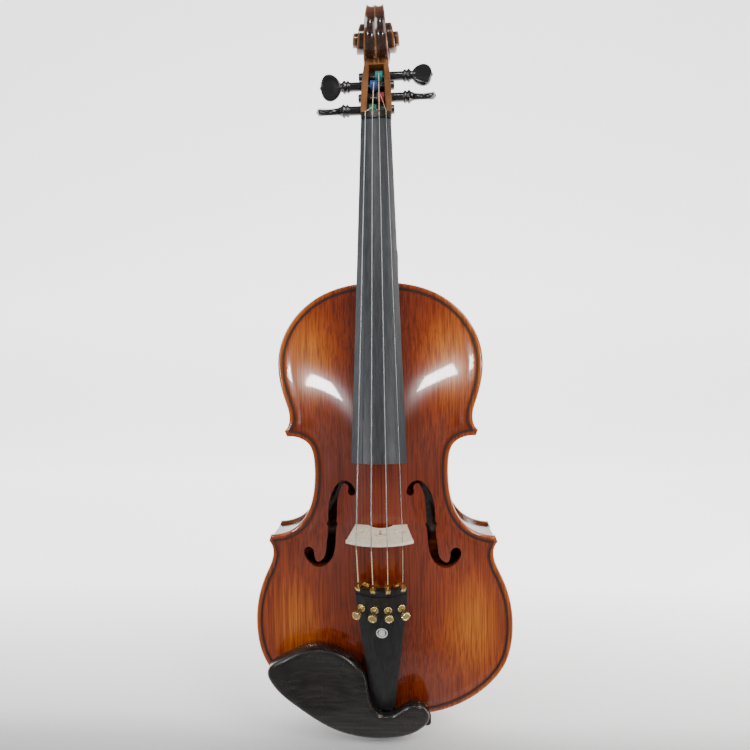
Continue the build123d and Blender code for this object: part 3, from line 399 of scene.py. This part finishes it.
# The right half of the body's edge: upper bout, waist and lower bout, from the neck down.
BOUTS = [
    natural_spline([(0, BODY_LENGTH), (18, 354.8), (46.5, 346.3), (70, 326.8), (82, 300), (82.4, 282),
                    (78.2, 263), (74.4, 247.5), (75.4, 241), (78.6, 236.6)], 90),
    natural_spline([(76.6, 231.6), (66, 230.2), (58.8, 225.2), (54.8, 212), (54.6, 196), (56.6, 181), (62, 167),
                    (71, 157), (81, 152.2), (91.6, 150.6)], 70),
    natural_spline([(93.6, 145.4), (90.6, 140), (90.8, 131.5), (96.6, 117.5), (103.6, 96), (105, 70),
                    (99.8, 47.5), (84, 26.5), (51.5, 7.2), (24, 1.3), (0, 0)], 120),
]
BOUTS[0][:, 1] = np.minimum(BOUTS[0][:, 1], BODY_LENGTH)
BOUTS[2][:, 1] = np.maximum(BOUTS[2][:, 1], 0)


def cross(a, b, c, d):
    """The point where two short lines cross, or None."""
    first, second, gap = b - a, d - c, c - a
    bottom = first[0] * second[1] - first[1] * second[0]
    if abs(bottom) < 1e-12:
        return None
    s = (gap[0] * second[1] - gap[1] * second[0]) / bottom
    t = (gap[0] * first[1] - gap[1] * first[0]) / bottom
    return a + first * s if 0 <= s <= 1 and 0 <= t <= 1 else None


def meeting(before, after, reach=30):
    """Where the last stretch of one curve crosses the first of the next: both places and the point."""
    for i in range(len(before) - 2, len(before) - reach, -1):
        for j in range(reach):
            hit = cross(before[i], before[i + 1], after[j], after[j + 1])
            if hit is not None:
                return i, j, hit
    return None


def ring_parts(amount):
    """The right half of the outline, drawn in by an amount, as its three bouts."""
    moved = []
    for bout in BOUTS:
        tangent = np.gradient(bout, axis=0)
        tangent /= np.linalg.norm(tangent, axis=1)[:, None]
        tangent[0] = (1, 0) if bout is BOUTS[0] else tangent[0]
        tangent[-1] = (-1, 0) if bout is BOUTS[2] else tangent[-1]
        moved.append(bout + np.stack([tangent[:, 1], -tangent[:, 0]], 1) * amount)
    for k in (0, 1):
        found = meeting(moved[k], moved[k + 1])
        if found is not None:
            i, j, hit = found
            moved[k] = np.vstack([moved[k][:i + 1], [hit]])
            moved[k + 1] = moved[k + 1][j + 1:]
    return moved


def ring(amount):
    """The whole outline drawn in by an amount, as a closed list of (x, v)."""
    half = np.vstack(ring_parts(amount))
    return np.vstack([half, half[-2:0:-1] * (-1, 1)])


def inside(points, loop):
    """Which of the points lie inside a closed loop."""
    x, y = points[:, 0][:, None], points[:, 1][:, None]
    a, b = loop, np.roll(loop, -1, axis=0)
    over = (a[:, 1] > y) != (b[:, 1] > y)
    with np.errstate(divide="ignore", invalid="ignore"):
        where = (b[:, 0] - a[:, 0]) * (y - a[:, 1]) / (b[:, 1] - a[:, 1]) + a[:, 0]
    return (np.sum(over & (x < where), axis=1) % 2) == 1


def away(points, loop):
    """Distance from each point to a closed loop."""
    a, b = loop, np.roll(loop, -1, axis=0)
    best = np.full(len(points), 1e9)
    for start in range(0, len(points), 4000):
        p = points[start:start + 4000][:, None, :]
        d = b - a
        t = np.clip(np.sum((p - a) * d, axis=2) / np.maximum(1e-9, np.sum(d * d, axis=1)), 0, 1)
        best[start:start + 4000] = np.min(np.linalg.norm(p - (a + t[..., None] * d), axis=2), axis=1)
    return best


def filled(outer, holes, rings, step):
    """Triangles that fill an outline, with holes, extra rings of points and a grid of points between."""
    low, high = outer.min(0), outer.max(0)
    gx, gy = np.meshgrid(np.arange(low[0], high[0], step), np.arange(low[1], high[1], step * 0.87))
    gx[1::2] += step / 2
    grid = np.stack([gx.ravel(), gy.ravel()], 1)
    grid = grid[inside(grid, outer)]
    for loop in [outer] + holes + rings:
        grid = grid[away(grid, loop) > step * 0.45]
    points, edges = [], []
    for loop in [outer] + holes + rings:
        first = len(points)
        points += [Vector(p) for p in loop]
        edges += [(first + i, first + (i + 1) % len(loop)) for i in range(len(loop))]
    points += [Vector(p) for p in grid]
    verts, _, faces, _, _, _ = geometry.delaunay_2d_cdt(points, edges, [], 0, 1e-5)
    flat = np.array([(v.x, v.y) for v in verts])
    middle = np.array([flat[list(f)].mean(0) for f in faces])
    good = inside(middle, outer)
    for hole in holes:
        good &= ~inside(middle, hole)
    return flat, [f for f, g in zip(faces, good) if g]


def thickened(flat, faces, high, low, place):
    """Closes a flat sheet of triangles into a solid, between a high face and a low one."""
    count = len(flat)
    verts = [place(x, v, h) for (x, v), h in zip(flat, high)]
    verts += [place(x, v, h) for (x, v), h in zip(flat, low)]
    whole = [tuple(f) for f in faces]
    whole += [tuple(count + i for i in reversed(f)) for f in faces]
    border = {}
    for f in faces:
        for a, b in zip(f, f[1:] + f[:1]):
            if (b, a) in border:
                del border[(b, a)]
            else:
                border[(a, b)] = True
    whole += [(b, a, count + a, count + b) for a, b in border]
    return verts, whole


# ------------------------------------------------------------------ top and back plates
LOWER_HALF, WAIST_HALF, UPPER_HALF = 99.0, 48.0, 77.0       # half widths of the arching
LOWER_AT, WAIST_AT, UPPER_AT = 80, 203, 288                 # where the arching is widest, narrowest, widest
LOWER_REACH, UPPER_REACH = 72, 60                           # from there to where it runs out at each end


def arch_half_width(v):
    """Half the width over which a plate is arched, at a place along it."""
    if v < LOWER_AT:
        half = LOWER_HALF * sqrt(max(0.0, 1 - ((LOWER_AT - v) / LOWER_REACH) ** 2))
    elif v < WAIST_AT:
        share = (v - LOWER_AT) / (WAIST_AT - LOWER_AT)
        half = WAIST_HALF + (LOWER_HALF - WAIST_HALF) * (1 + cos(pi * share)) / 2
    elif v < UPPER_AT:
        share = (v - WAIST_AT) / (UPPER_AT - WAIST_AT)
        half = WAIST_HALF + (UPPER_HALF - WAIST_HALF) * (1 - cos(pi * share)) / 2
    else:
        half = UPPER_HALF * sqrt(max(0.0, 1 - ((v - UPPER_AT) / UPPER_REACH) ** 2))
    return max(40.0, half)


def arch(x, v, rise):
    """How far a plate swells above its edge."""
    share = min(1.0, abs(x) / arch_half_width(v))
    along = min(1.0, abs(v - 178) / 170)
    return rise * (1 - share**2) ** 2 * (1 - along**4) ** 2


# The treble f-hole's edge: outer side from the upper eye, notch, lower eye, inner side, notch and upper wing.
F_HOLE = np.vstack([
    natural_spline([(20.4, 189.6), (20.6, 187.2), (23.4, 185.5), (26.2, 187.2), (26.3, 189.4), (25.9, 192.4),
                    (28.8, 195.0), (32.6, 190.6), (35.4, 179), (36.2, 163.8)], 46),
    [(34.9, 161.6), (36.2, 159.4)],
    natural_spline([(36.3, 158.4), (37.8, 142), (43.6, 130), (52.4, 126.4), (61.2, 131.2), (63.9, 136.6),
                    (62.6, 140.6), (59.0, 141.7), (55.6, 139.2), (55.0, 135.4), (52.6, 130.6), (48.4, 132.6),
                    (45.0, 141), (43.7, 151)], 66),
    [(43.5, 159.4), (44.8, 161.2), (43.4, 163.4)],
    natural_spline([(43.2, 165), (42.6, 177), (37.8, 190.4), (29.6, 197.2), (24.2, 195.6), (20.9, 191.4)], 26),
])
F_HOLES = [F_HOLE, (F_HOLE * (-1, 1))[::-1]]


def patch(x, v, side, height, wide, tall):
    """A soft round patch on both sides of the middle line."""
    return np.exp(-((np.abs(x) - side) / wide) ** 2 - ((v - height) / tall) ** 2)


def mark(obj, name, values):
    """Stores one number for each vertex, for a material to read."""
    layer = obj.data.attributes.new(name, "FLOAT", "POINT")
    layer.data.foreach_set("value", np.asarray(values, np.float32))


EDGE_RINGS = (0.5, 1.1, 1.9, 2.9, 4.6, 6.6)     # distances in from the edge that get a ring of points
BEAD, OUTERMOST = 1.9, 0.3          # rounding of the edge, and how near it a point counts as on it
CHANNEL_FROM, CHANNEL_TO, CHANNEL_DEPTH = 2, 11, 0.55
GLUED, PLATE = 5, 3.0               # width of the glued margin, and thickness
PURFLING_AT, PURFLING_SOFT = 4.7, 1.5


def plate(name, material, facing, rise, holes, outer):
    """One arched plate with a rounded edge, a shallow channel inside it and cut holes."""
    flat, faces = filled(outer, holes, [ring(a) for a in EDGE_RINGS], 2.3)
    edge = away(flat, outer)
    heights = np.array([arch(x, v, rise) for x, v in flat])
    bead = np.where(edge < BEAD, np.sqrt(np.maximum(0, BEAD**2 - (BEAD - edge) ** 2)) - BEAD, 0)
    across = (edge - CHANNEL_FROM) / (CHANNEL_TO - CHANNEL_FROM)
    dip = np.where((across > 0) & (across < 1), -CHANNEL_DEPTH * np.sin(pi * across) ** 2, 0)
    front = heights + bead + dip
    behind = np.minimum(np.minimum(-1.2, heights - PLATE), front - 2.4)
    behind = np.where(edge < GLUED, RIB_TOP, behind)
    behind = np.where(edge < OUTERMOST, RIB_TOP + 1.1, behind)

    def place(x, v, h):
        return x * MM, facing * (EDGE_TOP + h) * MM, (BODY_BOTTOM + v) * MM

    obj = piece(name, *thickened(flat, faces, front, behind, place), material, crease=48)
    where = np.array([(v.co.x / MM, v.co.z / MM - BODY_BOTTOM) for v in obj.data.vertices])
    edge = away(where, outer)
    x, v = where[:, 0], where[:, 1]
    glow = patch(x, v, 58, 292, 26, 40) * 0.62 + patch(x, v, 72, 78, 26, 46) * 0.55
    mark(obj, "burst", 0.22 + glow + 0.45 * np.exp(-edge / 2.6))
    # Painted shade: a dark band round the purfling, wider than the inlay, darkens the channel too.
    mark(obj, "purfling_with_painted_shade", 0.85 * np.clip(1 - np.abs(edge - PURFLING_AT) / PURFLING_SOFT, 0, 1) ** 0.7)
    return obj


outline = ring(0)
top = plate("top_varnished", "top_varnish", -1, 11.5, F_HOLES, outline)
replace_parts(top, "top_plate")

BUTTON = 10.5
button = [(BUTTON * sin(radians(a)), 358 + BUTTON * cos(radians(a))) for a in range(0, 91, 10)]
below_button = [p for p in outline[:len(outline) // 2 + 1] if p[0] > BUTTON + 0.1 or p[1] < 100]
right_side = np.vstack([button, below_button])
back_outline = np.vstack([right_side, right_side[-2:0:-1] * (-1, 1)])
back = plate("back_varnished", "back_varnish", 1, 11.0, [], back_outline)
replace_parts(back, "back_plate")


# ------------------------------------------------------------------ ribs
def spaced(line, count):
    """The same line with evenly spaced points."""
    line = np.array(line)
    t = np.concatenate([[0], np.cumsum(np.linalg.norm(np.diff(line, axis=0), axis=1))])
    s = np.linspace(0, t[-1], count)
    return np.stack([np.interp(s, t, line[:, k]) for k in (0, 1)], 1)


def strip(name, outside, inner, count):
    """One bent rib strip between the two plates."""
    outside, inner = spaced(outside, count), spaced(inner, count)
    verts, faces = [], []
    for (x, v), (u, w) in zip(outside, inner):
        verts += [at(x, v, RIB_TOP), at(x, v, RIB_LOW), at(u, w, RIB_LOW), at(u, w, RIB_TOP)]
    for i in range(count - 1):
        for k in range(4):
            a, b = 4 * i + k, 4 * i + (k + 1) % 4
            faces.append((a, b, b + 4, a + 4))
    faces += [tuple(range(4)), tuple(range(4 * count - 4, 4 * count))]
    obj = piece(name, verts, faces, "rib_varnish")
    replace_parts(obj, name.replace("_bent", ""))


OVERHANG, RIB = 2.6, 1.2        # of the plates past the ribs, and the ribs' thickness
rib_out, rib_in = ring_parts(OVERHANG), ring_parts(OVERHANG + RIB)
for hand, word in ((1, "treble"), (-1, "bass")):
    strip(f"rib_upper_{word}_bent", rib_out[0] * (hand, 1), rib_in[0] * (hand, 1), 70)
    strip(f"rib_centre_{word}_bent", rib_out[1] * (hand, 1), rib_in[1] * (hand, 1), 60)
lower_out = np.vstack([rib_out[2], rib_out[2][-2::-1] * (-1, 1)])
lower_in = np.vstack([rib_in[2], rib_in[2][-2::-1] * (-1, 1)])
strip("rib_lower_bent", lower_out, lower_in, 180)


# ------------------------------------------------------------------ neck, pegbox and scroll
def skin(sections, close=True, caps=True):
    """Verts and faces over a row of sections that all have the same number of points."""
    verts = [p for section in sections for p in section]
    n = len(sections[0])
    faces = []
    for i in range(len(sections) - 1):
        for k in range(n if close else n - 1):
            a, b = i * n + k, i * n + (k + 1) % n
            faces.append((a, b, b + n, a + n))
    if caps:
        faces += [tuple(range(n)), tuple(range(len(verts) - n, len(verts)))]
    return verts, faces


def follow(table, value):
    """A smooth value read off a short table of (place, value) pairs."""
    places, values = [row[0] for row in table], [row[1] for row in table]
    curve = natural_spline(list(zip(places, values)), 200)
    return float(np.interp(value, curve[:, 0], curve[:, 1]))


EYE_V, EYE_H = 562.0, -29.0
# Radius and half width of the volute's rim against the angle turned, in degrees, from the pegbox to the eye.
TURN_RADIUS = [(-60, 29.0), (0, 21.6), (45, 24.6), (90, 26.6), (135, 24.6), (180, 21.2), (270, 17.4),
               (360, 14.8), (450, 13.4), (540, 11.4), (630, 9.6), (720, 8.2), (810, 7.0), (900, 5.8), (990, 4.8)]
TURN_WIDTH = [(-60, 9.8), (0, 7.8), (90, 6.3), (180, 8.8), (270, 10.9), (360, 11.5), (450, 12.3), (540, 14.7),
              (630, 16.7), (720, 17.4), (810, 18.3), (900, 19.3), (990, 19.8)]
FIRST_ANGLE, LAST_ANGLE = -60, 990
radius_curve = natural_spline(TURN_RADIUS, 400)
width_curve = natural_spline(TURN_WIDTH, 400)


def turn_radius(angle):
    return float(np.interp(angle, radius_curve[:, 0], radius_curve[:, 1]))


def turn_width(angle):
    return float(np.interp(angle, width_curve[:, 0], width_curve[:, 1]))


def volute_section(angle):
    """Half of the volute's section at an angle: the fluted rim, its chamfer, then the hollowed side."""
    outer, width = turn_radius(angle), turn_width(angle)
    inner = turn_radius(angle + 360) if angle < 630 else 2.0
    flute = 1.5 * min(1.0, max(0.0, (430 - angle) / 120))
    points = []
    for k in range(9):
        s = k / 8
        points.append((s * (width - 0.55), outer - flute * sin(pi * s) ** 0.8))
    shoulder = outer - 0.95
    points += [(width - 0.05, outer - 0.55), (width, shoulder)]
    for k in range(1, 7):
        s = k / 6
        points.append((width - 1.9 * sin(pi * min(s, 0.62)), shoulder + (inner - 0.2 - shoulder) * s))
    return points


def volute():
    """The spiral of the scroll, from the pegbox to its eye."""
    sections = []
    for angle in range(FIRST_ANGLE, LAST_ANGLE + 1, 6):
        half = volute_section(angle)
        whole = [(-x, r) for x, r in reversed(half)] + half[1:]
        a = radians(angle)
        sections.append([at(x, EYE_V + r * sin(a), EYE_H - r * cos(a)) for x, r in whole])
    return skin(sections, close=False)


def pegbox():
    """The pegbox, open at the front between its two cheeks."""
    start, end = 493.5, 539.8
    back_h = [(486, -19), (489, -21.5), (500, -33.5), (517, -39.5), (538, -44.5), (552, -48.6)]
    front_h = [(486, -9.2), (491.5, -9.4), (534, -21.5), (552, -26.4)]
    wide = [(486, 11.9), (497, 12.8), (515, 12.3), (531, 11.4), (545, 9.8), (552, 9.2)]
    sections = []
    stations = [486.5, 488, 490, 492, start - 0.1, start, *range(496, 537, 4)]
    stations += [538.5, end, end + 0.1, 543, 547, 551]
    for v in stations:
        low, high, w = follow(back_h, v), follow(front_h, v), follow(wide, v)
        if start <= v <= end:
            floor, gap = -20.7 - 0.333 * (v - start), 7.9 - 0.04 * (v - start)
        else:
            floor, gap = high - 0.01, 2.0
        half = [(0, low), (w * 0.55, low + 0.3), (w - 1.0, low + 1.2), (w - 0.3, low + 2.4), (w, low + 3.4),
                (w, high - 0.9), (w - 0.9, high), (gap + 0.9, high),
                (gap, high - 0.9 if floor < high - 1 else high),
                (gap, floor), (0, floor)]
        whole = half + [(-x, h) for x, h in half[-2:0:-1]]
        sections.append([at(x, v, h) for x, h in whole])
    return skin(sections)


def board_half(v):
    """Half the fingerboard's width at a place along it."""
    return 12 + 9 * (BOARD_NUT - v) / (BOARD_NUT - BOARD_END)


def shaft():
    """The round-backed neck under the fingerboard, which leans back towards the nut."""
    start, length = 366, 125
    sections = []
    for k in range(31):
        v = start + k * length / 30
        depth = 14.0 - 2.4 * (v - start) / length
        half = board_half(v) - 0.2
        y = 6.0 - 0.115 * (v - BODY_LENGTH)
        sections.append([at(half * cos(pi * j / 18), v, y - depth * sin(pi * j / 18)) for j in range(19)])
    return skin(sections)


def heel():
    """The neck's foot, which widens and reaches further up from the button to the fingerboard."""
    half_widths = [(-15.5, 10.5), (-4, 11.8), (6, 14.0), (13, 15.6), (19, 16.1), (22, 16.2)]
    reaches = [(-15.5, 368.5), (-4, 369), (6, 373), (13, 384), (19, 390), (22, 392)]
    sections = []
    for y in np.linspace(15.5, -22, 24):
        half = follow(half_widths, -y)
        reach = follow(reaches, -y)
        loop = [(-half, 350.5), (half, 350.5)]
        loop += [(half * cos(pi * j / 20), reach - half + half * sin(pi * j / 20)) for j in range(21)]
        sections.append([Vector((x, y, BODY_BOTTOM + v)) * MM for x, v in loop])
    return skin(sections)


def mark_worn_and_highlit_edges(obj, much):
    """Marks the sharp edges, painted orange: partly varnish rubbed through, partly painted highlight where the
    edges catch the light.
    """
    work = bmesh.new()
    work.from_mesh(obj.data)
    work.verts.ensure_lookup_table()
    marks = []
    for vert in work.verts:
        bends = [e.calc_face_angle(0) for e in vert.link_edges if len(e.link_faces) == 2]
        marks.append(much if bends and max(bends) > radians(38) else 0.0)
    work.free()
    mark(obj, "worn_and_highlit_edges", marks)


for name, shape, crease, much in (("volute", volute(), 35, 0.9), ("pegbox", pegbox(), 35, 0.45),
                                  ("neck_shaft", shaft(), 40, 0.9), ("neck_heel", heel(), 40, 0.9)):
    obj = piece(name, *shape, "neck_wood", crease=crease)
    mark_worn_and_highlit_edges(obj, much)
    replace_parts(obj, "neck_and_scroll")


# ------------------------------------------------------------------ pegs
# Place along the body, side of the grip, reach from the middle and turn in degrees.
PEGS = {
    "g": (498.7, -1, 49.7, 60),
    "d": (522.0, -1, 47.7, -30),
    "a": (531.0, 1, 47.2, 15),
    "e": (510.2, 1, 49.2, 60),
}
SHANK = [(-14.9, 0.2), (-14.9, 2.8), (-14.3, 3.4), (21.6, 3.5), (22.3, 3.6), (22.9, 4.5), (23.7, 4.9),
         (24.5, 4.5), (25.0, 3.9), (25.6, 4.1), (26.3, 5.0), (27.1, 5.2), (27.9, 4.6), (28.6, 3.7), (30, 3.2),
         (33, 2.6), (36, 0.3)]
GRIP_START = 28.6


def lathe(profile, centre, along, steps=32):
    """A turned shape: profile is (distance along, radius) pairs."""
    along = along.normalized()
    side = along.orthogonal().normalized()
    other = along.cross(side)
    sections = []
    for s, r in profile:
        ring_points = []
        for k in range(steps):
            a = 2 * pi * k / steps
            ring_points.append(centre + (along * s + (side * cos(a) + other * sin(a)) * r) * MM)
        sections.append(ring_points)
    return skin(sections)


def thumb(centre, along, flat, end):
    """The heart-shaped grip of a peg, dished on both faces."""
    wide = flat.cross(along).normalized()
    rim = natural_spline([(GRIP_START, 0.6), (29.6, 2.4), (31.2, 5.2), (34.8, 8.6), (39.8, 10),
                          (end - 4.2, 8.6), (end - 1.8, 5.0), (end - 0.9, 0.4)], 26)
    verts, faces = [], []
    across = 14
    for s, w in rim:
        for k in range(2 * across):
            a = pi * k / across
            t, up = cos(a), sin(a)
            thick = 3.0 * (1 if up > 0 else -1) * abs(up) ** 0.45
            share = (s - GRIP_START) / (end - 0.9 - GRIP_START)
            thick *= 0.72 + 0.28 * min(1.0, w / 6) - 0.30 * (1 - t * t) * sin(pi * share) ** 2
            verts.append(centre + (along * s + wide * (w * t) + flat * thick) * MM)
    n = 2 * across
    for i in range(len(rim) - 1):
        for k in range(n):
            a, b = i * n + k, i * n + (k + 1) % n
            faces.append((a, b, b + n, a + n))
    faces += [tuple(range(n)), tuple(range(len(verts) - n, len(verts)))]
    return verts, faces


for letter, (v, hand, end, turn) in PEGS.items():
    centre = at(0, v, -16 - 0.31 * (v - 498.7))
    along = Vector((hand, 0, 0))
    flat = Vector((0, -cos(radians(turn)), sin(radians(turn))))
    pip = [(end - 1.6, 0.3), (end - 1.5, 1.5), (end - 0.7, 1.4), (end - 0.15, 0.9), (end, 0.2)]
    for word, shape, crease in (("turned", lathe(SHANK, centre, along), 50),
                                ("grip", thumb(centre, along, flat, end), 60),
                                ("pip", lathe(pip, centre, along, 16), 60)):
        obj = piece(f"peg_{letter}_{word}", *shape, "peg_ebony", f"peg_{letter}", crease=crease)
        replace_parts(obj, f"peg_{letter}")


# ------------------------------------------------------------------ fine tuner knobs and nuts
TAIL_TOP, TAIL_LOW = (118.5, 30.0), (11.5, 8.0)     # the tailpiece's face at both ends, as (v, h)
SLOPE = atan2(TAIL_TOP[1] - TAIL_LOW[1], TAIL_TOP[0] - TAIL_LOW[0])
TAIL_UP = Vector((0, -sin(SLOPE), cos(SLOPE)))
TAIL_OUT = Vector((0, -cos(SLOPE), -sin(SLOPE)))
TUNER_X = {"g": -15.0, "d": -5.0, "a": 5.0, "e": 15.0}
FACE_RADIUS, TUNER_DROP = 42.0, 15.5        # crown of that face, and the screws' distance below its top


def tuner_axis(x):
    """Foot on the tailpiece, in metres, and direction of a fine tuner's screw."""
    fan = asin(x / FACE_RADIUS)
    sunk = FACE_RADIUS * (1 - cos(fan))
    foot = at(0, *TAIL_TOP) + (Vector((x, 0, 0)) - TAIL_UP * TUNER_DROP - TAIL_OUT * sunk) * MM
    return foot, Vector((sin(fan), 0, 0)) + TAIL_OUT * cos(fan)


def scalloped(foot, out, rows, teeth, depth):
    """A knurled disc: rows are (height, radius) pairs, and the rim is scalloped."""
    side = TAIL_UP.cross(out).normalized()
    up = out.cross(side)
    sections = []
    steps = teeth * 6
    for height, radius in rows:
        loop = []
        for k in range(steps):
            a = 2 * pi * k / steps
            r = radius - depth * (1 - abs(cos(teeth * a / 2))) * (radius > 2.4)
            loop.append(foot + (out * height + side * (r * cos(a)) + up * (r * sin(a))) * MM)
        sections.append(loop)
    return sections


KNOB = [(8.2, 1.5), (8.2, 2.95), (8.45, 3.3), (10.5, 3.3), (10.8, 3.0), (10.9, 2.3), (10.65, 2.1), (10.65, 0.2)]
NUT = [(0.18, 2.05), (0.18, 2.95), (0.35, 3.12), (1.15, 3.12), (1.38, 2.9), (1.38, 2.05)]
nut_verts, nut_faces = [], []
for letter, x in TUNER_X.items():
    foot, out = tuner_axis(x)
    knob = f"tuner_knob_{letter}"
    shape = skin(scalloped(foot, out, KNOB, 18, 0.22))
    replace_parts(piece(f"{knob}_knurled", *shape, "gilt", knob, crease=30), knob)
    verts, faces = skin(scalloped(foot, out, NUT, 20, 0.15), caps=False)
    nut_faces += [tuple(i + len(nut_verts) for i in f) for f in faces]
    nut_verts += verts
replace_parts(piece("tuner_nuts_knurled", nut_verts, nut_faces, "gilt", crease=30), "tuner_nuts")


# ------------------------------------------------------------------ chinrest
# The plate's edge, clockwise from its bass end over the tailpiece to the treble horn and back.
REST = [(-91.5, 48), (-79, 59), (-53, 67), (-28, 60.5), (-14.3, 46), (-10.4, 25), (-2, 12.6), (6, 12.6),
        (19.2, 20.8), (29.7, 21.4), (36.4, 11), (30, 1), (8, -7.6), (-16, -8), (-40, -1.5), (-68.5, 17),
        (-88, 37)]
loop = natural_spline(REST[-4:] + REST + REST[:4], 520)
ends = [int(np.argmin(np.linalg.norm(loop[k] - np.array(REST[0]), axis=1))) + k.start
        for k in (slice(0, 200), slice(320, 520))]
rest_outline = loop[ends[0]:ends[1]]


UNDERSIDE = 9.5
DISH_AT, DISH_RADIUS, DISH_CENTRE_H = (-48, 35), 89, 104
ROLL = 3.2


def chinrest():
    """The dished plate, which leans up towards the player and has a rounded edge."""
    tangent = np.roll(rest_outline, -1, axis=0) - np.roll(rest_outline, 1, axis=0)
    tangent /= np.linalg.norm(tangent, axis=1)[:, None]
    inward = np.stack([tangent[:, 1], -tangent[:, 0]], 1)
    if not inside(rest_outline[:1] + inward[:1], rest_outline)[0]:
        inward = -inward
    rings = [rest_outline + inward * a for a in (0.35, 0.9, 1.7, 2.6, 3.6)]
    flat, faces = filled(rest_outline, [], rings, 1.5)
    edge = away(flat, rest_outline)
    x, v = flat[:, 0], flat[:, 1]
    slope = 14.0 + (v + 12) * 9.5 / 84
    from_middle = (x - DISH_AT[0]) ** 2 + (v - DISH_AT[1]) ** 2
    dish = DISH_CENTRE_H - np.sqrt(np.maximum(1, DISH_RADIUS**2 - from_middle))
    soft = -1.2 * np.log(np.exp(-slope / 1.2) + np.exp(-dish / 1.2))
    roll = np.where(edge < ROLL, np.sqrt(np.maximum(0, ROLL**2 - (ROLL - edge) ** 2)) - ROLL, 0)
    high = np.maximum(soft + roll, 11.2)
    low = UNDERSIDE + np.where(edge < 2, 2 - np.sqrt(np.maximum(0, 4 - (2 - edge) ** 2)), 0) * 0.7
    return thickened(flat, faces, high, low, at)


def foot_block(x, v):
    """A foot of the chinrest: a block with round corners that flares into the plate."""
    sections = []
    for h, grow in ((2.2, -0.4), (2.6, 0), (8, 0.2), (10.6, 1.6)):
        points = []
        for k in range(40):
            across, along = cos(2 * pi * k / 40), sin(2 * pi * k / 40)
            points.append(at(x + (8.5 + grow) * abs(across) ** 0.4 * (1 if across > 0 else -1),
                             v + (4.5 + grow) * abs(along) ** 0.4 * (1 if along > 0 else -1), h))
        sections.append(points)
    return skin(sections)


rest = piece("chinrest_carved", *chinrest(), "ebony", crease=50)
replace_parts(rest, "chinrest")
for name, x, v in (("chinrest_foot_bass", -31, 6.4), ("chinrest_foot_treble", 27.6, 7.4)):
    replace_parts(piece(name, *foot_block(x, v), "ebony", crease=50), "chinrest")


# ------------------------------------------------------------------ camera and light
CAMERA_PLACE = Vector((17.731, -411.843, 304.692)) * MM
CAMERA_TURN = Vector((0.034, -0.014, -0.054))       # radians about each axis, from looking straight along +Y


def camera_matrix():
    """Where the camera stands and how it is turned."""
    spin = Matrix.Rotation(CAMERA_TURN.length, 3, CAMERA_TURN.normalized()).transposed()
    right = spin @ Vector((1, 0, 0))
    up = spin @ Vector((0, 0, 1))
    behind = -(spin @ Vector((0, 1, 0)))
    matrix = Matrix((right, up, behind)).transposed().to_4x4()
    matrix.translation = CAMERA_PLACE
    return matrix


data = bpy.data.cameras.new("camera")
data.lens = 23.46
data.sensor_width = 36
data.clip_start = 0.01
camera = bpy.data.objects.new("camera", data)
bpy.context.scene.collection.objects.link(camera)
camera.matrix_world = camera_matrix()
bpy.context.scene.camera = camera


def area(name, place, target, size, power, colour=(1, 1, 1)):
    """A rectangular soft light. Places and sizes are in metres."""
    light = bpy.data.lights.new(name, "AREA")
    light.shape = "RECTANGLE"
    light.size, light.size_y = size
    light.energy = power
    light.color = colour
    obj = bpy.data.objects.new(name, light)
    bpy.context.scene.collection.objects.link(obj)
    obj.location = place
    obj.rotation_euler = (Vector(target) - Vector(place)).to_track_quat("-Z", "Y").to_euler()


area("softbox_left", (-0.55, -0.89, 0.245), (-0.047, -0.02, 0.286), (0.06, 0.10), 1.9)
area("softbox_right", (0.45, -0.94, 0.30), (0.045, -0.02, 0.288), (0.085, 0.085), 1.9)
area("scroll_light", (-0.10, -0.80, 1.02), (0, 0.0, 0.58), (0.16, 0.10), 1.6)
area("key_right", (0.75, -0.55, 0.95), (0, 0, 0.25), (0.45, 0.6), 8.0, (1.0, 0.97, 0.93))
area("fill_left", (-0.9, -0.6, 0.7), (0, 0, 0.25), (0.5, 0.8), 4.0, (0.93, 0.96, 1.0))
area("rim_right", (0.8, 0.12, 0.35), (0, 0, 0.25), (0.2, 0.7), 3.0, (1.0, 0.95, 0.88))
world = bpy.data.worlds.new("studio")
world.use_nodes = True
sky = world.node_tree.nodes["Background"]
sky.inputs["Color"].default_value = (0.9, 0.93, 1.0, 1)
sky.inputs["Strength"].default_value = 0.22
bpy.context.scene.world = world

# ------------------------------------------------------------------ floor that curves up into a wall, in metres
FLOOR, WALL_TOP, HALF_WIDTH = -0.004, 2.8, 2.6
FRONT, CURVE_START, CURVE_RADIUS = -3.0, 0.9, 0.5

paper = Mat("paper")
tooth = paper.noise(paper.space(), 300, 3)
depth = paper.axis(1)
sheet = paper.mix(tooth, (0.93, 0.93, 0.93), (0.97, 0.97, 0.97))
front = paper.mix(tooth, (0.20, 0.20, 0.20), (0.23, 0.23, 0.23))
# Painted light: the paper is dark grey from 10 cm in front of the violin towards the camera, so the varnish
# mirrors no pale floor, and it glows ever more strongly from the violin's front back and up the wall.
paper.set(Base_Color=paper.mix(paper.grey(depth, 0, 1, -0.10, 0.0), front, sheet), Roughness=0.9)
paper.set(Emission_Color=(1, 1, 1, 1), Emission_Strength=paper.grey(depth, 0.0, 2.1, -0.03, 0.25))
profile = [(FRONT, FLOOR), (CURVE_START, FLOOR)]
for a in range(10, 91, 10):
    profile.append((CURVE_START + CURVE_RADIUS * sin(radians(a)), FLOOR + CURVE_RADIUS * (1 - cos(radians(a)))))
profile.append((CURVE_START + CURVE_RADIUS, WALL_TOP))
verts = [(x, y, z) for x in (-HALF_WIDTH, HALF_WIDTH) for y, z in profile]
count = len(profile)
mesh = bpy.data.meshes.new("backdrop")
mesh.from_pydata(verts, [], [(i, i + 1, count + i + 1, count + i) for i in range(count - 1)])
mesh.polygons.foreach_set("use_smooth", [True] * len(mesh.polygons))
mesh.materials.append(paper.mat)
backdrop = bpy.data.objects.new("backdrop", mesh)
bpy.context.scene.collection.objects.link(backdrop)
